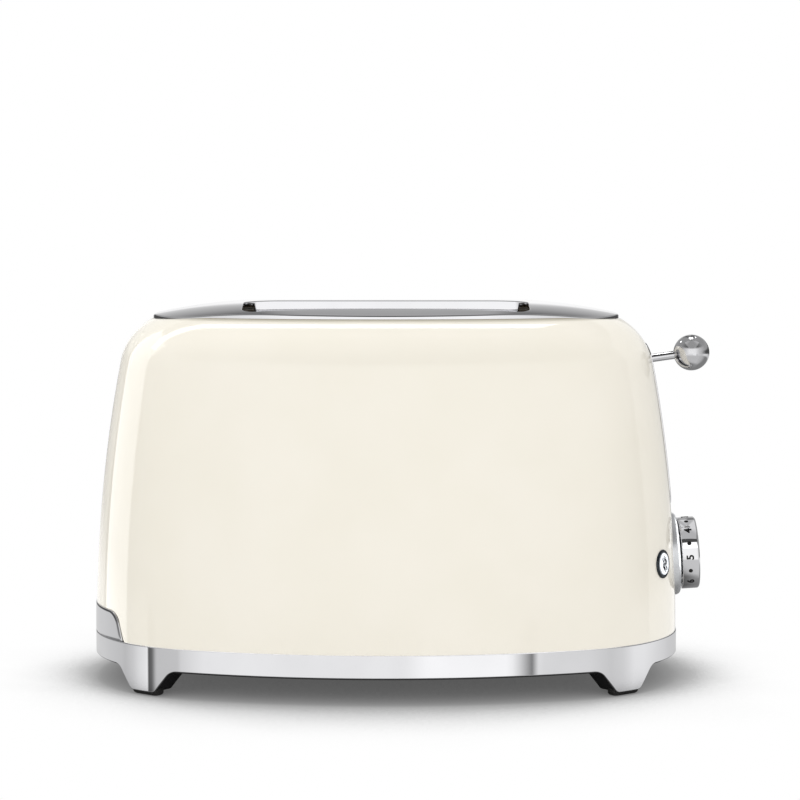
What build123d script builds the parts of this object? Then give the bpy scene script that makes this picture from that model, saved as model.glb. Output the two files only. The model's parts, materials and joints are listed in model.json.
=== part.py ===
from build123d import *

import os
from math import asin, atan2, cos, degrees, pi, radians, sin, sqrt, tan

# A two-slice pop-up toaster made as its separate pieces, in millimetres.
# +Z is up and the origin lies on the table under the middle of the body.
# The lever, dial and buttons are at the +X end, the crumb tray pulls out at the -X end,
# and the front faces -Y.

# Outer form of the body
BODY_LENGTH = 305.6
BODY_DEPTH = 194.2
FRONT_RADIUS = 302.0
CORNER_SHARE = 0.07913
END_RADIUS = 400.0
END_BOW = 735.0
FRONT_BOW = 578.0
SHOULDER_DROP = 30.5
SHOULDER_RADIUS = 25.0
SHOULDER_TURN = 75.0
SHELL_WALL = 1.2
SIDE_STEPS = 2
SHOULDER_STEPS = 4

# Chrome band with its four feet, and the black base inside it
BAND_LOW = 13.9
BAND_HEIGHT = 11.7
BAND_PROUD = 0.4
BAND_WALL = 2.0
FOOT_TURN = 38.2
FOOT_TOP_WIDTH = 35.3
FOOT_LOW_WIDTH = 15.5
FOOT_LOW = 2.2
FOOT_SWEEP = 8.0
FOOT_TIP = 3.5
PAD_HEIGHT = 2.0
PAD_WIDTH = 12.0
PAD_DEPTH = 6.0
BASE_GAP = 0.2
BASE_SHOWING = 0.9
FLOOR_THICKNESS = 3.0
RIM_WALL = 2.5
RIM_RISE = 4.4
LEG_DEPTH = 11.0
LEG_INSET = 0.6
VENT_LENGTH = 24.0
VENT_WIDTH = 4.0
VENT_PITCH = 20.0
VENT_COUNT = 6
VENT_ROW_PITCH = 40.0
SCREW_RADIUS = 2.0
SCREW_LENGTH = 6.0
SCREW_HEAD_RADIUS = 3.4
SCREW_HEAD_HEIGHT = 2.2
GLAND_END_SETBACK = 90.8
GLAND_SIDE_SETBACK = 29.1
GLAND_BORE_RADIUS = 3.5
GLAND_NECK_RADIUS = 6.0
GLAND_FLANGE_RADIUS = 8.0
GLAND_FLANGE = 1.5

# Chrome crown with its two bread slots
CROWN_END_SETBACK = 30.6
CROWN_SIDE_SETBACK = 39.9
CROWN_CORNER_SHARE = 0.0697
CROWN_FRONT_RADIUS = 302.0
CROWN_END_RADIUS = 200.0
CROWN_TOP = 198.0
CROWN_HEIGHT = 15.0
CROWN_FLAT_LENGTH = 110.0
CROWN_END_BOW = 319.0
CROWN_FLAT_DEPTH = 36.0
CROWN_SIDE_BOW = 135.4
CROWN_WALL = 1.2
CROWN_GAP = 0.4
DOME_STEPS = 4
DOME_MARGIN = 3.0
SLOT_LENGTH = 148.0
SLOT_WIDTH = 36.0
SLOT_CORNER = 8.0
SLOT_SPACING = 54.0
SLOT_FLANGE = 9.0

# Inner frame: end plates, heat shields, element boards and bread guides
PLATE_CLEAR = 12.0
PLATE_THICK = 1.0
PLATE_MARGIN = 1.5
PLATE_CORNER = 9.0
TAB_LENGTH = 12.0
TAB_WIDTH = 9.0
GUIDE_SPREAD = 32.0
PIVOT_OVER_TRAY = 6.0
GUIDE_DROP = 6.0
GUIDE_PIVOT_RADIUS = 1.5
GUIDE_WIRE_RADIUS = 1.0
GUIDE_RAIL_RADIUS = 1.3
GUIDE_WIRE_PITCH = 16.0
GUIDE_WIRE_COUNT = 9
GUIDE_END_REACH = 1.5
PIVOT_CLEAR = 0.05
BOARD_GAP = 8.5
BOARD_THICK = 1.0
BOARD_OVER_PIVOT = 4.0
BOARD_DROP = 7.0
RIBBON_THICK = 0.3
RIBBON_WIDTH = 2.5
RIBBON_LENGTH = 150.0
RIBBON_PITCH = 12.0
RIBBON_ROWS = 10
SHIELD_GAP = 5.0
SHIELD_THICK = 0.6

# Lift: bread racks, carriage, guide rod and lever
LEVER_OVER_DIAL = 37.8
RACK_OVER_TRAY = 9.0
RACK_HEIGHT = 3.0
RACK_RAIL_WIDTH = 4.0
RACK_BAR_LENGTH = 22.0
RACK_BAR_WIDTH = 2.0
RACK_CLEAR = 0.6
RACK_OVERRUN = 3.0
CARRIAGE_CLEAR = 5.0
CARRIAGE_THICK = 1.5
CARRIAGE_UNDER_RACK = 8.0
CARRIAGE_OVER_RACK = 6.0
CARRIAGE_ARM_MARGIN = 6.0
CARRIAGE_SPINE_WIDTH = 18.0
ROD_OFFSET = 7.5
ROD_RADIUS = 3.0
ROD_CLEAR = 0.05
ROD_OVERRUN = 1.5
SLIDER_WIDTH = 16.0
SLIDER_REACH = 12.5
SLIDER_OVER_STEM = 1.0
SOCKET_DEPTH = 7.0
SOCKET_CLEAR = 0.05
BRACKET_DROP = 5.0
BRACKET_THICK = 1.5
BRACKET_WIDTH = 54.0
STEM_DROP = 0.5
STEM_TILT = 8.2
STEM_DIAMETER = 4.3
BALL_REACH = 22.2
BALL_RADIUS = 9.5
BALL_SOCKET = 4.0
SLIT_CLEAR = 0.6
TRIM_OVER_STEM = 8.5
TRIM_UNDER_STEM = 11.0
TRIM_WIDTH = 17.0
TRIM_PROUD = 0.8
TRIM_SEAT = 0.05

# Magnet, switch and return spring at the lever end
SIDE_TAB_OFFSET = 24.0
SIDE_TAB_WIDTH = 16.0
SIDE_TAB_LENGTH = 20.0
KEEPER_THICK = 2.5
KEEPER_LENGTH = 16.0
KEEPER_WIDTH = 14.0
MAGNET_GAP = 0.2
CORE_RADIUS = 4.0
CORE_FLANGE = 2.0
COIL_RADIUS = 8.5
COIL_CLEAR = 0.1
COIL_HEIGHT = 11.0
SWITCH_HEIGHT = 14.0
SWITCH_LENGTH = 18.0
SWITCH_WIDTH = 14.0
SWITCH_PLUNGER_RADIUS = 2.5
SWITCH_GAP = 0.4
SPRING_OFFSET = 19.0
SPRING_RADIUS = 4.2
SPRING_WIRE = 0.5
SPRING_TURNS = 10
SPRING_CORNERS = 6
SPRING_ROUNDING = 0.48
SPRING_SEAT = 0.2
TERMINAL_LENGTH = 20.0
TERMINAL_WIDTH = 12.0
TERMINAL_HEIGHT = 12.0

# Browning dial, its collar and electronics
DIAL_LEVEL = 63.2
DIAL_TILT = 3.7
DIAL_RADIUS = 19.0
DIAL_BACK = 3.6
DIAL_FRONT = 12.9
DIAL_WALL = 2.0
DIAL_WEB = 1.7
DIAL_RIM_ROUND = 1.6
SLEEVE_RADIUS = 11.0
SLEEVE_WALL = 2.0
SLEEVE_BACK = -1.0
SHAFT_RADIUS = 4.2
SHAFT_BACK = -17.0
PLUNGER_RADIUS = 2.6
PRESS_CLEAR = 0.15
CANCEL_PROUD = 0.4
CANCEL_THICK = 4.0
CANCEL_TRAVEL = 1.5
COLLAR_RADIUS = 22.3
COLLAR_NOSE_RADIUS = 20.8
COLLAR_FRONT = 1.8
COLLAR_FLARE = 4.0
COLLAR_BACK = -9.0
COLLAR_STEP = -2.0
COLLAR_THROAT = 14.0
COLLAR_CLEAR = 0.25
LIGHT_RING_RADIUS = 18.2
LIGHT_RING_BORE = 12.0
LIGHT_RING_FRONT = 3.2
POT_RADIUS = 9.0
POT_FRONT = -8.0
BOARD_FACE = -20.0
CONTROL_BOARD_THICK = 1.6
CONTROL_BOARD_WIDTH = 60.0
CONTROL_BOARD_UP = 27.0
CONTROL_BOARD_DOWN = 33.0
CANCEL_SWITCH_RADIUS = 2.5
BRACE_THICK = 3.0
BRACE_UP = 20.0
BRACE_DOWN = 70.0

# Two side buttons on the round corners beside the dial
BUTTON_OVER_DIAL = 0.6
BUTTON_TURN = 61.4
BUTTON_RADIUS = 5.75
BUTTON_PROUD = 1.3
BUTTON_BACK = -9.0
BUTTON_TRAVEL = 1.2
BEZEL_RADIUS = 7.4
BEZEL_PROUD = 0.9
BEZEL_BACK = -13.0
BEZEL_CLEAR = 0.15
BUTTON_BOARD_SIZE = 15.0
TACT_RADIUS = 2.0
TACT_GAP = 0.2

# Crumb tray with its chrome front panel
TRAY_OVER_BAND = 1.4
TRAY_WALL = 0.8
TRAY_HEIGHT = 7.0
TRAY_WIDTH = 88.0
TRAY_END_CLEAR = 5.0
TRAY_RUN_CLEAR = 0.3
RAIL_OFFSET = 38.0
RAIL_WIDTH = 3.0
PANEL_HEIGHT = 14.9
PANEL_TOP_WIDTH = 106.0
PANEL_LOW_WIDTH = 115.0
PANEL_SWEEP = 8.0
PANEL_WALL = 1.6
PANEL_PROUD = 0.4
PANEL_CLEAR = 0.3

# Sizes worked out from the ones above
BAND_TOP = BAND_LOW + BAND_HEIGHT
SHOULDER_LEVEL = CROWN_TOP - SHOULDER_DROP
CROWN_LENGTH = BODY_LENGTH - 2 * CROWN_END_SETBACK
CROWN_DEPTH = BODY_DEPTH - 2 * CROWN_SIDE_SETBACK
CROWN_LOW = CROWN_TOP - CROWN_HEIGHT
FLOOR_LOW = BAND_LOW - BASE_SHOWING
FLOOR_TOP = FLOOR_LOW + FLOOR_THICKNESS
BASE_INSET = BAND_WALL - BAND_PROUD + BASE_GAP
SLOT_Y = SLOT_SPACING / 2
OUTER_BOARD_Y = SLOT_Y + GUIDE_SPREAD / 2 + BOARD_GAP
SHIELD_Y = OUTER_BOARD_Y + BOARD_THICK + SHIELD_GAP
PLATE_HALF_WIDTH = SHIELD_Y + SHIELD_THICK + PLATE_MARGIN
PLATE_X = SLOT_LENGTH / 2 + PLATE_CLEAR
PLATE_OUTER_X = PLATE_X + PLATE_THICK
CARRIAGE_X = PLATE_OUTER_X + CARRIAGE_CLEAR
CARRIAGE_FACE = CARRIAGE_X + CARRIAGE_THICK
ROD_X = CARRIAGE_FACE + ROD_OFFSET
SLIDER_FACE = ROD_X + SLIDER_REACH
SIDE_TAB_X = CARRIAGE_FACE + SIDE_TAB_LENGTH / 2
TRAY_LOW = BAND_TOP + TRAY_OVER_BAND
TRAY_TOP = TRAY_LOW + TRAY_HEIGHT
PANEL_TOP = BAND_TOP + PANEL_HEIGHT
STEM_LEVEL = SHOULDER_LEVEL - STEM_DROP
LIFT_TRAVEL = STEM_LEVEL - DIAL_LEVEL - LEVER_OVER_DIAL
RACK_LOW = TRAY_TOP + RACK_OVER_TRAY + LIFT_TRAVEL
RACK_TOP = RACK_LOW + RACK_HEIGHT
CARRIAGE_LOW = RACK_LOW - CARRIAGE_UNDER_RACK
CARRIAGE_ARM_TOP = RACK_TOP + CARRIAGE_OVER_RACK
KEEPER_LOW = CARRIAGE_LOW - KEEPER_THICK
GUIDE_PIVOT_LEVEL = TRAY_TOP + PIVOT_OVER_TRAY
GUIDE_TOP = CROWN_LOW - GUIDE_DROP
BOARD_LOW = GUIDE_PIVOT_LEVEL + BOARD_OVER_PIVOT
BOARD_TOP = CROWN_LOW - BOARD_DROP
BRACKET_LEVEL = CROWN_LOW - BRACKET_DROP
SLIDER_TOP = STEM_LEVEL + SLIDER_OVER_STEM
TRIM_TOP = STEM_LEVEL + TRIM_OVER_STEM
TRIM_LOW = STEM_LEVEL - LIFT_TRAVEL - TRIM_UNDER_STEM
BUTTON_LEVEL = DIAL_LEVEL + BUTTON_OVER_DIAL
GLAND_X = BODY_LENGTH / 2 - GLAND_END_SETBACK
GLAND_Y = BODY_DEPTH / 2 - GLAND_SIDE_SETBACK
TRAY_NOTCH_HALF = TRAY_WIDTH / 2 + TRAY_END_CLEAR / 4
TAB_Y = TRAY_NOTCH_HALF + TAB_WIDTH / 2
SCREW_X = PLATE_OUTER_X + TAB_LENGTH / 2
SIDES = {"front": -1, "rear": 1}


# Plan and profile of the body

def shoulder_draw(level, inset):
    """How far the rounded shoulder has drawn in at a level, from a circle that starts at its foot."""
    radius = SHOULDER_RADIUS - inset
    rise = max(0.0, level - SHOULDER_LEVEL)
    return radius - sqrt(radius**2 - rise**2)


def half_length(level, inset=0.0):
    """Half the body's length at a level: a slow lean, then the shoulder."""
    lean = (level - BAND_TOP) ** 2 / (2 * END_BOW)
    return BODY_LENGTH / 2 - inset - lean - shoulder_draw(level, inset)


def half_depth(level, inset=0.0):
    """Half the body's depth at a level, worked out as the half length is."""
    lean = (level - BAND_TOP) ** 2 / (2 * FRONT_BOW)
    return BODY_DEPTH / 2 - inset - lean - shoulder_draw(level, inset)


def corner_radius(length, depth, front, end, offset):
    """Radius of the arc that lies inside the front arc and the end arc and touches both.

    Its centre lies an offset from the middle plane that runs along the body.
    """
    run = length - end
    rise = front - depth + offset
    start = (front**2 - end**2 + run**2 - rise**2 + offset**2) / (2 * run)
    slope = (end - front) / run
    square = slope**2 - 1
    linear = start * slope + front
    constant = start**2 + rise**2 - front**2
    return (sqrt(linear**2 - square * constant) - linear) / square


def plan_corner(length, depth, corner, front, end):
    """Centre of the front right corner arc and the angles, from straight ahead, where it starts and ends.

    The corner arc lies inside the front arc and the end arc and touches both.
    """
    front_y = front - depth
    end_x = length - end
    front_reach = front - corner
    end_reach = end - corner
    span = sqrt(end_x**2 + front_y**2)
    along = (end_reach**2 - front_reach**2 + span**2) / (2 * span)
    across = sqrt(end_reach**2 - along**2)
    toward_x = -end_x / span
    toward_y = front_y / span
    x = end_x + along * toward_x + across * toward_y
    y = along * toward_y - across * toward_x
    start = degrees(atan2(x, front_y - y))
    stop = degrees(atan2(x - end_x, -y))
    return x, y, start, stop


def draw_plan(length, depth, corner, front, end, mode=Mode.ADD):
    """Draws a plan of eight arcs that run smoothly into each other, from its half length and half depth."""
    x, y, start, stop = plan_corner(length, depth, corner, front, end)
    turn = stop - start
    end_turn = 2 * (90 - stop)
    with BuildLine() as outline:
        CenterArc((0, front - depth), front, 270 - start, 2 * start)
        CenterArc((x, y), corner, 270 + start, turn)
        CenterArc((length - end, 0), end, 270 + stop, end_turn)
        CenterArc((x, -y), corner, 90 - stop, turn)
        CenterArc((0, depth - front), front, 90 - start, 2 * start)
        CenterArc((-x, -y), corner, 90 + start, turn)
        CenterArc((end - length, 0), end, 90 + stop, end_turn)
        CenterArc((-x, y), corner, 270 - stop, turn)
    make_face(outline.edges(), mode=mode)


def section_sizes(level, inset):
    """Half length, half depth and the three plan radii of the body at a level."""
    length = half_length(level, inset)
    depth = half_depth(level, inset)
    front = FRONT_RADIUS - inset
    end = END_RADIUS - inset
    corner = corner_radius(length, depth, front, end, CORNER_SHARE * half_depth(level))
    return length, depth, corner, front, end


def draw_section(level, inset=0.0, mode=Mode.ADD):
    """Draws the body's plan at a level, drawn in by an inset."""
    draw_plan(*section_sizes(level, inset), mode=mode)


def draw_crown_plan(inset):
    """Draws the crown's outline, drawn in by an inset."""
    length = CROWN_LENGTH / 2 - inset
    depth = CROWN_DEPTH / 2 - inset
    front = CROWN_FRONT_RADIUS - inset
    end = CROWN_END_RADIUS - inset
    corner = corner_radius(length, depth, front, end, CROWN_CORNER_SHARE * CROWN_DEPTH / 2)
    draw_plan(length, depth, corner, front, end)


def body_form(inset):
    """The body's outer form, drawn in by an inset: a leaning side from the band up, then the shoulder."""
    radius = SHOULDER_RADIUS - inset
    rise = SHOULDER_LEVEL - BAND_TOP
    side_levels = [BAND_TOP + rise * step / SIDE_STEPS for step in range(SIDE_STEPS + 1)]
    shoulder_turns = [radians(SHOULDER_TURN * step / SHOULDER_STEPS) for step in range(SHOULDER_STEPS + 1)]
    shoulder_levels = [SHOULDER_LEVEL + radius * sin(turn) for turn in shoulder_turns]
    with BuildPart() as form:
        for levels in (side_levels, shoulder_levels):
            for level in levels:
                with BuildSketch(Plane.XY.offset(level)):
                    draw_section(level, inset)
            loft()
    return form.part


def corner_plane(level, turn, side):
    """Plane on the body's lever-end corner: local Z points out, local Y points up along the wall."""
    sizes = section_sizes(level, 0.0)
    x, y, _, _ = plan_corner(*sizes)
    radius = sizes[2]
    out_x = sin(radians(turn))
    out_y = side * cos(radians(turn))
    lean = (level - BAND_TOP) / FRONT_BOW
    origin = (x + radius * out_x, -side * y + radius * out_y, level)
    return Plane(origin=origin, x_dir=(-out_y, out_x, 0), z_dir=(out_x, out_y, lean))


def save(piece, name):
    """Labels a finished piece and writes its file."""
    piece.part.label = name
    export_step(piece.part, f"parts/{name}.step")


os.makedirs("parts", exist_ok=True)

outer_form = body_form(0.0)
inner_form = body_form(SHELL_WALL)
trim_outer_form = body_form(-TRIM_SEAT - TRIM_PROUD)
trim_inner_form = body_form(-TRIM_SEAT)
panel_outer_form = body_form(-PANEL_PROUD)
panel_inner_form = body_form(PANEL_WALL)
tray_end_form = body_form(PANEL_WALL + TRIM_SEAT)

dial_plane = Plane(
    origin=(half_length(DIAL_LEVEL), 0, DIAL_LEVEL),
    x_dir=(0, 1, 0),
    z_dir=(cos(radians(DIAL_TILT)), 0, sin(radians(DIAL_TILT))),
)
stem_plane = Plane(
    origin=(half_length(STEM_LEVEL), 0, STEM_LEVEL),
    x_dir=(0, 1, 0),
    z_dir=(cos(radians(STEM_TILT)), 0, sin(radians(STEM_TILT))),
)
button_planes = {name: corner_plane(BUTTON_LEVEL, BUTTON_TURN, side) for name, side in SIDES.items()}


# Body shell

def draw_panel(clear):
    """Front of the crumb tray seen from the end: a low plate whose sides sweep out into the band."""
    low = BAND_TOP - clear
    top = PANEL_TOP + clear
    half_top = PANEL_TOP_WIDTH / 2 + clear
    half_low = PANEL_LOW_WIDTH / 2 + clear
    with BuildLine() as outline:
        FilletPolyline(
            (-half_low, low),
            (half_low, low),
            (half_top, top),
            (-half_top, top),
            radius=[0, 0, PANEL_SWEEP, PANEL_SWEEP],
            close=True,
        )
    make_face(outline.edges())


def draw_slit(margin):
    """Tall slot for the lever stem, seen from the end."""
    run = STEM_DIAMETER / 2 + margin
    slope = tan(radians(STEM_TILT))
    shell_step = half_length(STEM_LEVEL - LIFT_TRAVEL) - half_length(STEM_LEVEL)
    top = STEM_LEVEL + run + TRIM_PROUD
    low = STEM_LEVEL - LIFT_TRAVEL + shell_step * slope - run - SHELL_WALL
    with Locations((0, (top + low) / 2)):
        SlotOverall(top - low, 2 * run, rotation=90)


with BuildPart() as body_shell:
    add(outer_form)
    add(inner_form, mode=Mode.SUBTRACT)
    with BuildSketch(Plane.XY.offset(SHOULDER_LEVEL)):
        draw_crown_plan(-CROWN_GAP)
    extrude(amount=2 * SHOULDER_RADIUS, mode=Mode.SUBTRACT)
    with BuildSketch(Plane.YZ):
        draw_panel(PANEL_CLEAR)
    extrude(amount=-BODY_LENGTH, mode=Mode.SUBTRACT)
    with BuildSketch(Plane.YZ):
        draw_slit(SLIT_CLEAR)
    extrude(amount=BODY_LENGTH, mode=Mode.SUBTRACT)
    with BuildSketch(dial_plane.offset(COLLAR_BACK)):
        Circle(COLLAR_RADIUS + COLLAR_CLEAR)
    extrude(amount=COLLAR_RADIUS, mode=Mode.SUBTRACT)
    for plane in button_planes.values():
        with BuildSketch(plane.offset(BEZEL_BACK)):
            Circle(BEZEL_RADIUS + BEZEL_CLEAR)
        extrude(amount=2 * BEZEL_RADIUS, mode=Mode.SUBTRACT)
save(body_shell, "body_shell")


# Crown

def sag(run, bow):
    """Drop of an arc of a given radius, a run past the point where it leaves the level."""
    return bow - sqrt(bow**2 - max(0.0, run) ** 2)


def crown_arch(station):
    """Half width of the crown's arch at a station, half of its level part and the radius of its sides.

    The arch keeps its shape and narrows with the crown's front arc.
    """
    width = CROWN_DEPTH / 2 - sag(abs(station), CROWN_FRONT_RADIUS)
    scale = 2 * width / CROWN_DEPTH
    return width, scale * CROWN_FLAT_DEPTH / 2, scale * CROWN_SIDE_BOW


def crown_dome(drop):
    """Solid under the crown's domed top: arches of one shape carried along an arched crest."""
    half_run = CROWN_LENGTH / 2 + DOME_MARGIN
    low = SHOULDER_LEVEL
    with BuildPart() as dome:
        for step in range(-DOME_STEPS, DOME_STEPS + 1):
            station = half_run * step / DOME_STEPS
            crest = CROWN_TOP - drop - sag(abs(station) - CROWN_FLAT_LENGTH / 2, CROWN_END_BOW)
            width, half_flat, bow = crown_arch(station)
            edge = width + DOME_MARGIN
            edge_drop = sag(edge - half_flat, bow)
            turn = degrees(asin((edge - half_flat) / bow))
            with BuildSketch(Plane.YZ.offset(station)):
                with BuildLine():
                    CenterArc((half_flat, crest - bow), bow, 90 - turn, turn)
                    Line((half_flat, crest), (-half_flat, crest))
                    CenterArc((-half_flat, crest - bow), bow, 90, turn)
                    Polyline(
                        (-edge, crest - edge_drop),
                        (-edge, low),
                        (edge, low),
                        (edge, crest - edge_drop),
                    )
                make_face()
        loft()
    return dome.part


def crown_solid(inset, low, dome):
    """Crown outline drawn in by an inset, from a level up to a dome."""
    with BuildPart() as solid:
        with BuildSketch(Plane.XY.offset(low)):
            draw_crown_plan(inset)
        extrude(amount=CROWN_TOP - low)
        add(dome, mode=Mode.INTERSECT)
    return solid.part


def draw_bread_slots(margin):
    """Both bread slots in plan, widened by a margin."""
    with Locations((0, -SLOT_Y), (0, SLOT_Y)):
        RectangleRounded(SLOT_LENGTH + 2 * margin, SLOT_WIDTH + 2 * margin, SLOT_CORNER + margin)


crown_outer_dome = crown_dome(0.0)
crown_inner_dome = crown_dome(CROWN_WALL)
crown_outer = crown_solid(0.0, CROWN_LOW, crown_outer_dome)
crown_inner = crown_solid(CROWN_WALL, SHOULDER_LEVEL, crown_inner_dome)
flange_low = CROWN_TOP - sag(SLOT_Y + SLOT_WIDTH / 2 - CROWN_FLAT_DEPTH / 2, CROWN_SIDE_BOW) - SLOT_FLANGE

with BuildPart() as slot_flanges:
    with BuildSketch(Plane.XY.offset(flange_low)):
        draw_bread_slots(CROWN_WALL)
    extrude(amount=CROWN_TOP - flange_low)
    add(crown_outer_dome, mode=Mode.INTERSECT)

with BuildPart() as top_crown:
    add(crown_outer)
    add(crown_inner, mode=Mode.SUBTRACT)
    add(slot_flanges.part)
    with BuildSketch(Plane.XY.offset(CROWN_LOW)):
        draw_bread_slots(0.0)
    extrude(amount=CROWN_TOP, mode=Mode.SUBTRACT)
save(top_crown, "top_crown")


# Base band with feet

band_sizes = section_sizes(BAND_TOP, 0.0)
foot_corner = plan_corner(*band_sizes)
foot_out = (sin(radians(FOOT_TURN)), -cos(radians(FOOT_TURN)))
foot_x = foot_corner[0] + band_sizes[2] * foot_out[0]
foot_y = foot_corner[1] + band_sizes[2] * foot_out[1]
foot_plane = Plane(origin=(foot_x, foot_y, 0), x_dir=(-foot_out[1], foot_out[0], 0), z_dir=(*foot_out, 0))


def foot_block(inset, low, depth_low, depth_high):
    """One foot seen square on: a tongue that sweeps down from the band, cut through from depth to depth."""
    half_top = FOOT_TOP_WIDTH / 2 - inset
    half_low = FOOT_LOW_WIDTH / 2 - inset
    reach = half_top + 2 * FOOT_SWEEP
    with BuildPart() as block:
        with BuildSketch(foot_plane.offset(depth_low)):
            with BuildLine():
                FilletPolyline(
                    (-reach, BAND_TOP),
                    (-reach, BAND_LOW),
                    (-half_top, BAND_LOW),
                    (-half_low, low),
                    (half_low, low),
                    (half_top, BAND_LOW),
                    (reach, BAND_LOW),
                    (reach, BAND_TOP),
                    radius=[0, 0, FOOT_SWEEP, FOOT_TIP, FOOT_TIP, FOOT_SWEEP, 0, 0],
                    close=True,
                )
            make_face()
        extrude(amount=depth_high - depth_low)
        mirror(about=Plane.XZ)
        mirror(about=Plane.YZ)
    return block.part


band_feet = foot_block(0.0, FOOT_LOW, -2 * LEG_DEPTH, LEG_DEPTH)
base_legs = foot_block(LEG_INSET, PAD_HEIGHT, -2 * LEG_DEPTH, LEG_DEPTH)

with BuildPart() as foot_ring:
    with BuildSketch(Plane.XY.offset(FOOT_LOW)):
        draw_section(BAND_TOP, -BAND_PROUD)
        draw_section(BAND_TOP, BAND_WALL - BAND_PROUD, mode=Mode.SUBTRACT)
    extrude(amount=BAND_TOP - FOOT_LOW)
    add(band_feet, mode=Mode.INTERSECT)

with BuildPart() as base_band:
    with BuildSketch(Plane.XY.offset(BAND_LOW)):
        draw_section(BAND_TOP, -BAND_PROUD)
        draw_section(BAND_TOP, BAND_WALL - BAND_PROUD, mode=Mode.SUBTRACT)
    extrude(amount=BAND_TOP - BAND_LOW)
    add(foot_ring.part)
save(base_band, "base_band")


# Base tray with legs, rim, rails, vents and holes

with BuildPart() as leg_ring:
    with BuildSketch(Plane.XY.offset(PAD_HEIGHT)):
        draw_section(BAND_TOP, BASE_INSET)
        draw_section(BAND_TOP, BASE_INSET + LEG_DEPTH, mode=Mode.SUBTRACT)
    extrude(amount=FLOOR_TOP - PAD_HEIGHT)
    add(base_legs, mode=Mode.INTERSECT)

rail_length = 2 * PLATE_X - 2 * TRAY_END_CLEAR
screw_spots = [(x, y) for x in (-SCREW_X, SCREW_X) for y in (-TAB_Y, TAB_Y)]

with BuildPart() as base_tray:
    with BuildSketch(Plane.XY.offset(FLOOR_LOW)):
        draw_section(BAND_TOP, BASE_INSET)
    extrude(amount=FLOOR_THICKNESS)
    with BuildSketch(Plane.XY.offset(FLOOR_TOP)):
        draw_section(BAND_TOP, BASE_INSET)
        draw_section(BAND_TOP, BASE_INSET + RIM_WALL, mode=Mode.SUBTRACT)
    extrude(amount=BAND_TOP + RIM_RISE - FLOOR_TOP)
    add(leg_ring.part)
    with BuildSketch(Plane.XY.offset(FLOOR_TOP)):
        with Locations((0, -RAIL_OFFSET), (0, RAIL_OFFSET)):
            Rectangle(rail_length, RAIL_WIDTH)
    extrude(amount=TRAY_LOW - TRAY_RUN_CLEAR - FLOOR_TOP)
    with BuildSketch(Plane.XY.offset(BAND_TOP)):
        with Locations((-BODY_LENGTH / 2, 0)):
            Rectangle(BODY_LENGTH / 2, PANEL_LOW_WIDTH + 2 * PANEL_CLEAR)
    extrude(amount=PANEL_TOP, mode=Mode.SUBTRACT)
    with BuildSketch(Plane.XY.offset(FLOOR_LOW)):
        with GridLocations(VENT_PITCH, VENT_ROW_PITCH, VENT_COUNT, 2):
            SlotOverall(VENT_LENGTH, VENT_WIDTH, rotation=90)
        with Locations(*screw_spots):
            Circle(SCREW_RADIUS + PRESS_CLEAR)
        with Locations((GLAND_X, GLAND_Y)):
            Circle(GLAND_NECK_RADIUS + PRESS_CLEAR)
    extrude(amount=FLOOR_THICKNESS, mode=Mode.SUBTRACT)
save(base_tray, "base_tray")

pad_inset = BASE_INSET + PAD_DEPTH / 2
pad_plane = Plane(
    origin=(foot_x - pad_inset * foot_out[0], foot_y - pad_inset * foot_out[1], 0),
    x_dir=(-foot_out[1], foot_out[0], 0),
    z_dir=(0, 0, 1),
)
with BuildPart() as foot_pads:
    with BuildSketch(pad_plane):
        RectangleRounded(PAD_WIDTH, PAD_DEPTH, PAD_HEIGHT)
    extrude(amount=PAD_HEIGHT)
    mirror(about=Plane.XZ)
    mirror(about=Plane.YZ)
save(foot_pads, "foot_pads")

with BuildPart() as base_screws:
    with BuildSketch(Plane.XY.offset(FLOOR_LOW - SCREW_HEAD_HEIGHT)):
        with Locations(*screw_spots):
            Circle(SCREW_HEAD_RADIUS)
    extrude(amount=SCREW_HEAD_HEIGHT)
    with BuildSketch(Plane.XY.offset(FLOOR_LOW)):
        with Locations(*screw_spots):
            Circle(SCREW_RADIUS)
    extrude(amount=SCREW_LENGTH)
save(base_screws, "base_screws")

with BuildPart() as cord_gland:
    for low, height, radius in (
        (FLOOR_LOW - GLAND_FLANGE, GLAND_FLANGE, GLAND_FLANGE_RADIUS),
        (FLOOR_LOW, FLOOR_THICKNESS, GLAND_NECK_RADIUS),
        (FLOOR_TOP, GLAND_FLANGE, GLAND_FLANGE_RADIUS),
    ):
        with BuildSketch(Plane.XY.offset(low)):
            with Locations((GLAND_X, GLAND_Y)):
                Circle(radius)
                Circle(GLAND_BORE_RADIUS, mode=Mode.SUBTRACT)
        extrude(amount=height)
save(cord_gland, "cord_gland")


# Inner frame

guide_spots = {
    "front_outer": -SLOT_Y - GUIDE_SPREAD / 2,
    "front_inner": -SLOT_Y + GUIDE_SPREAD / 2,
    "rear_inner": SLOT_Y - GUIDE_SPREAD / 2,
    "rear_outer": SLOT_Y + GUIDE_SPREAD / 2,
}
rack_slot_low = RACK_LOW - LIFT_TRAVEL - RACK_CLEAR
rack_slot_top = RACK_TOP + RACK_CLEAR

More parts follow.
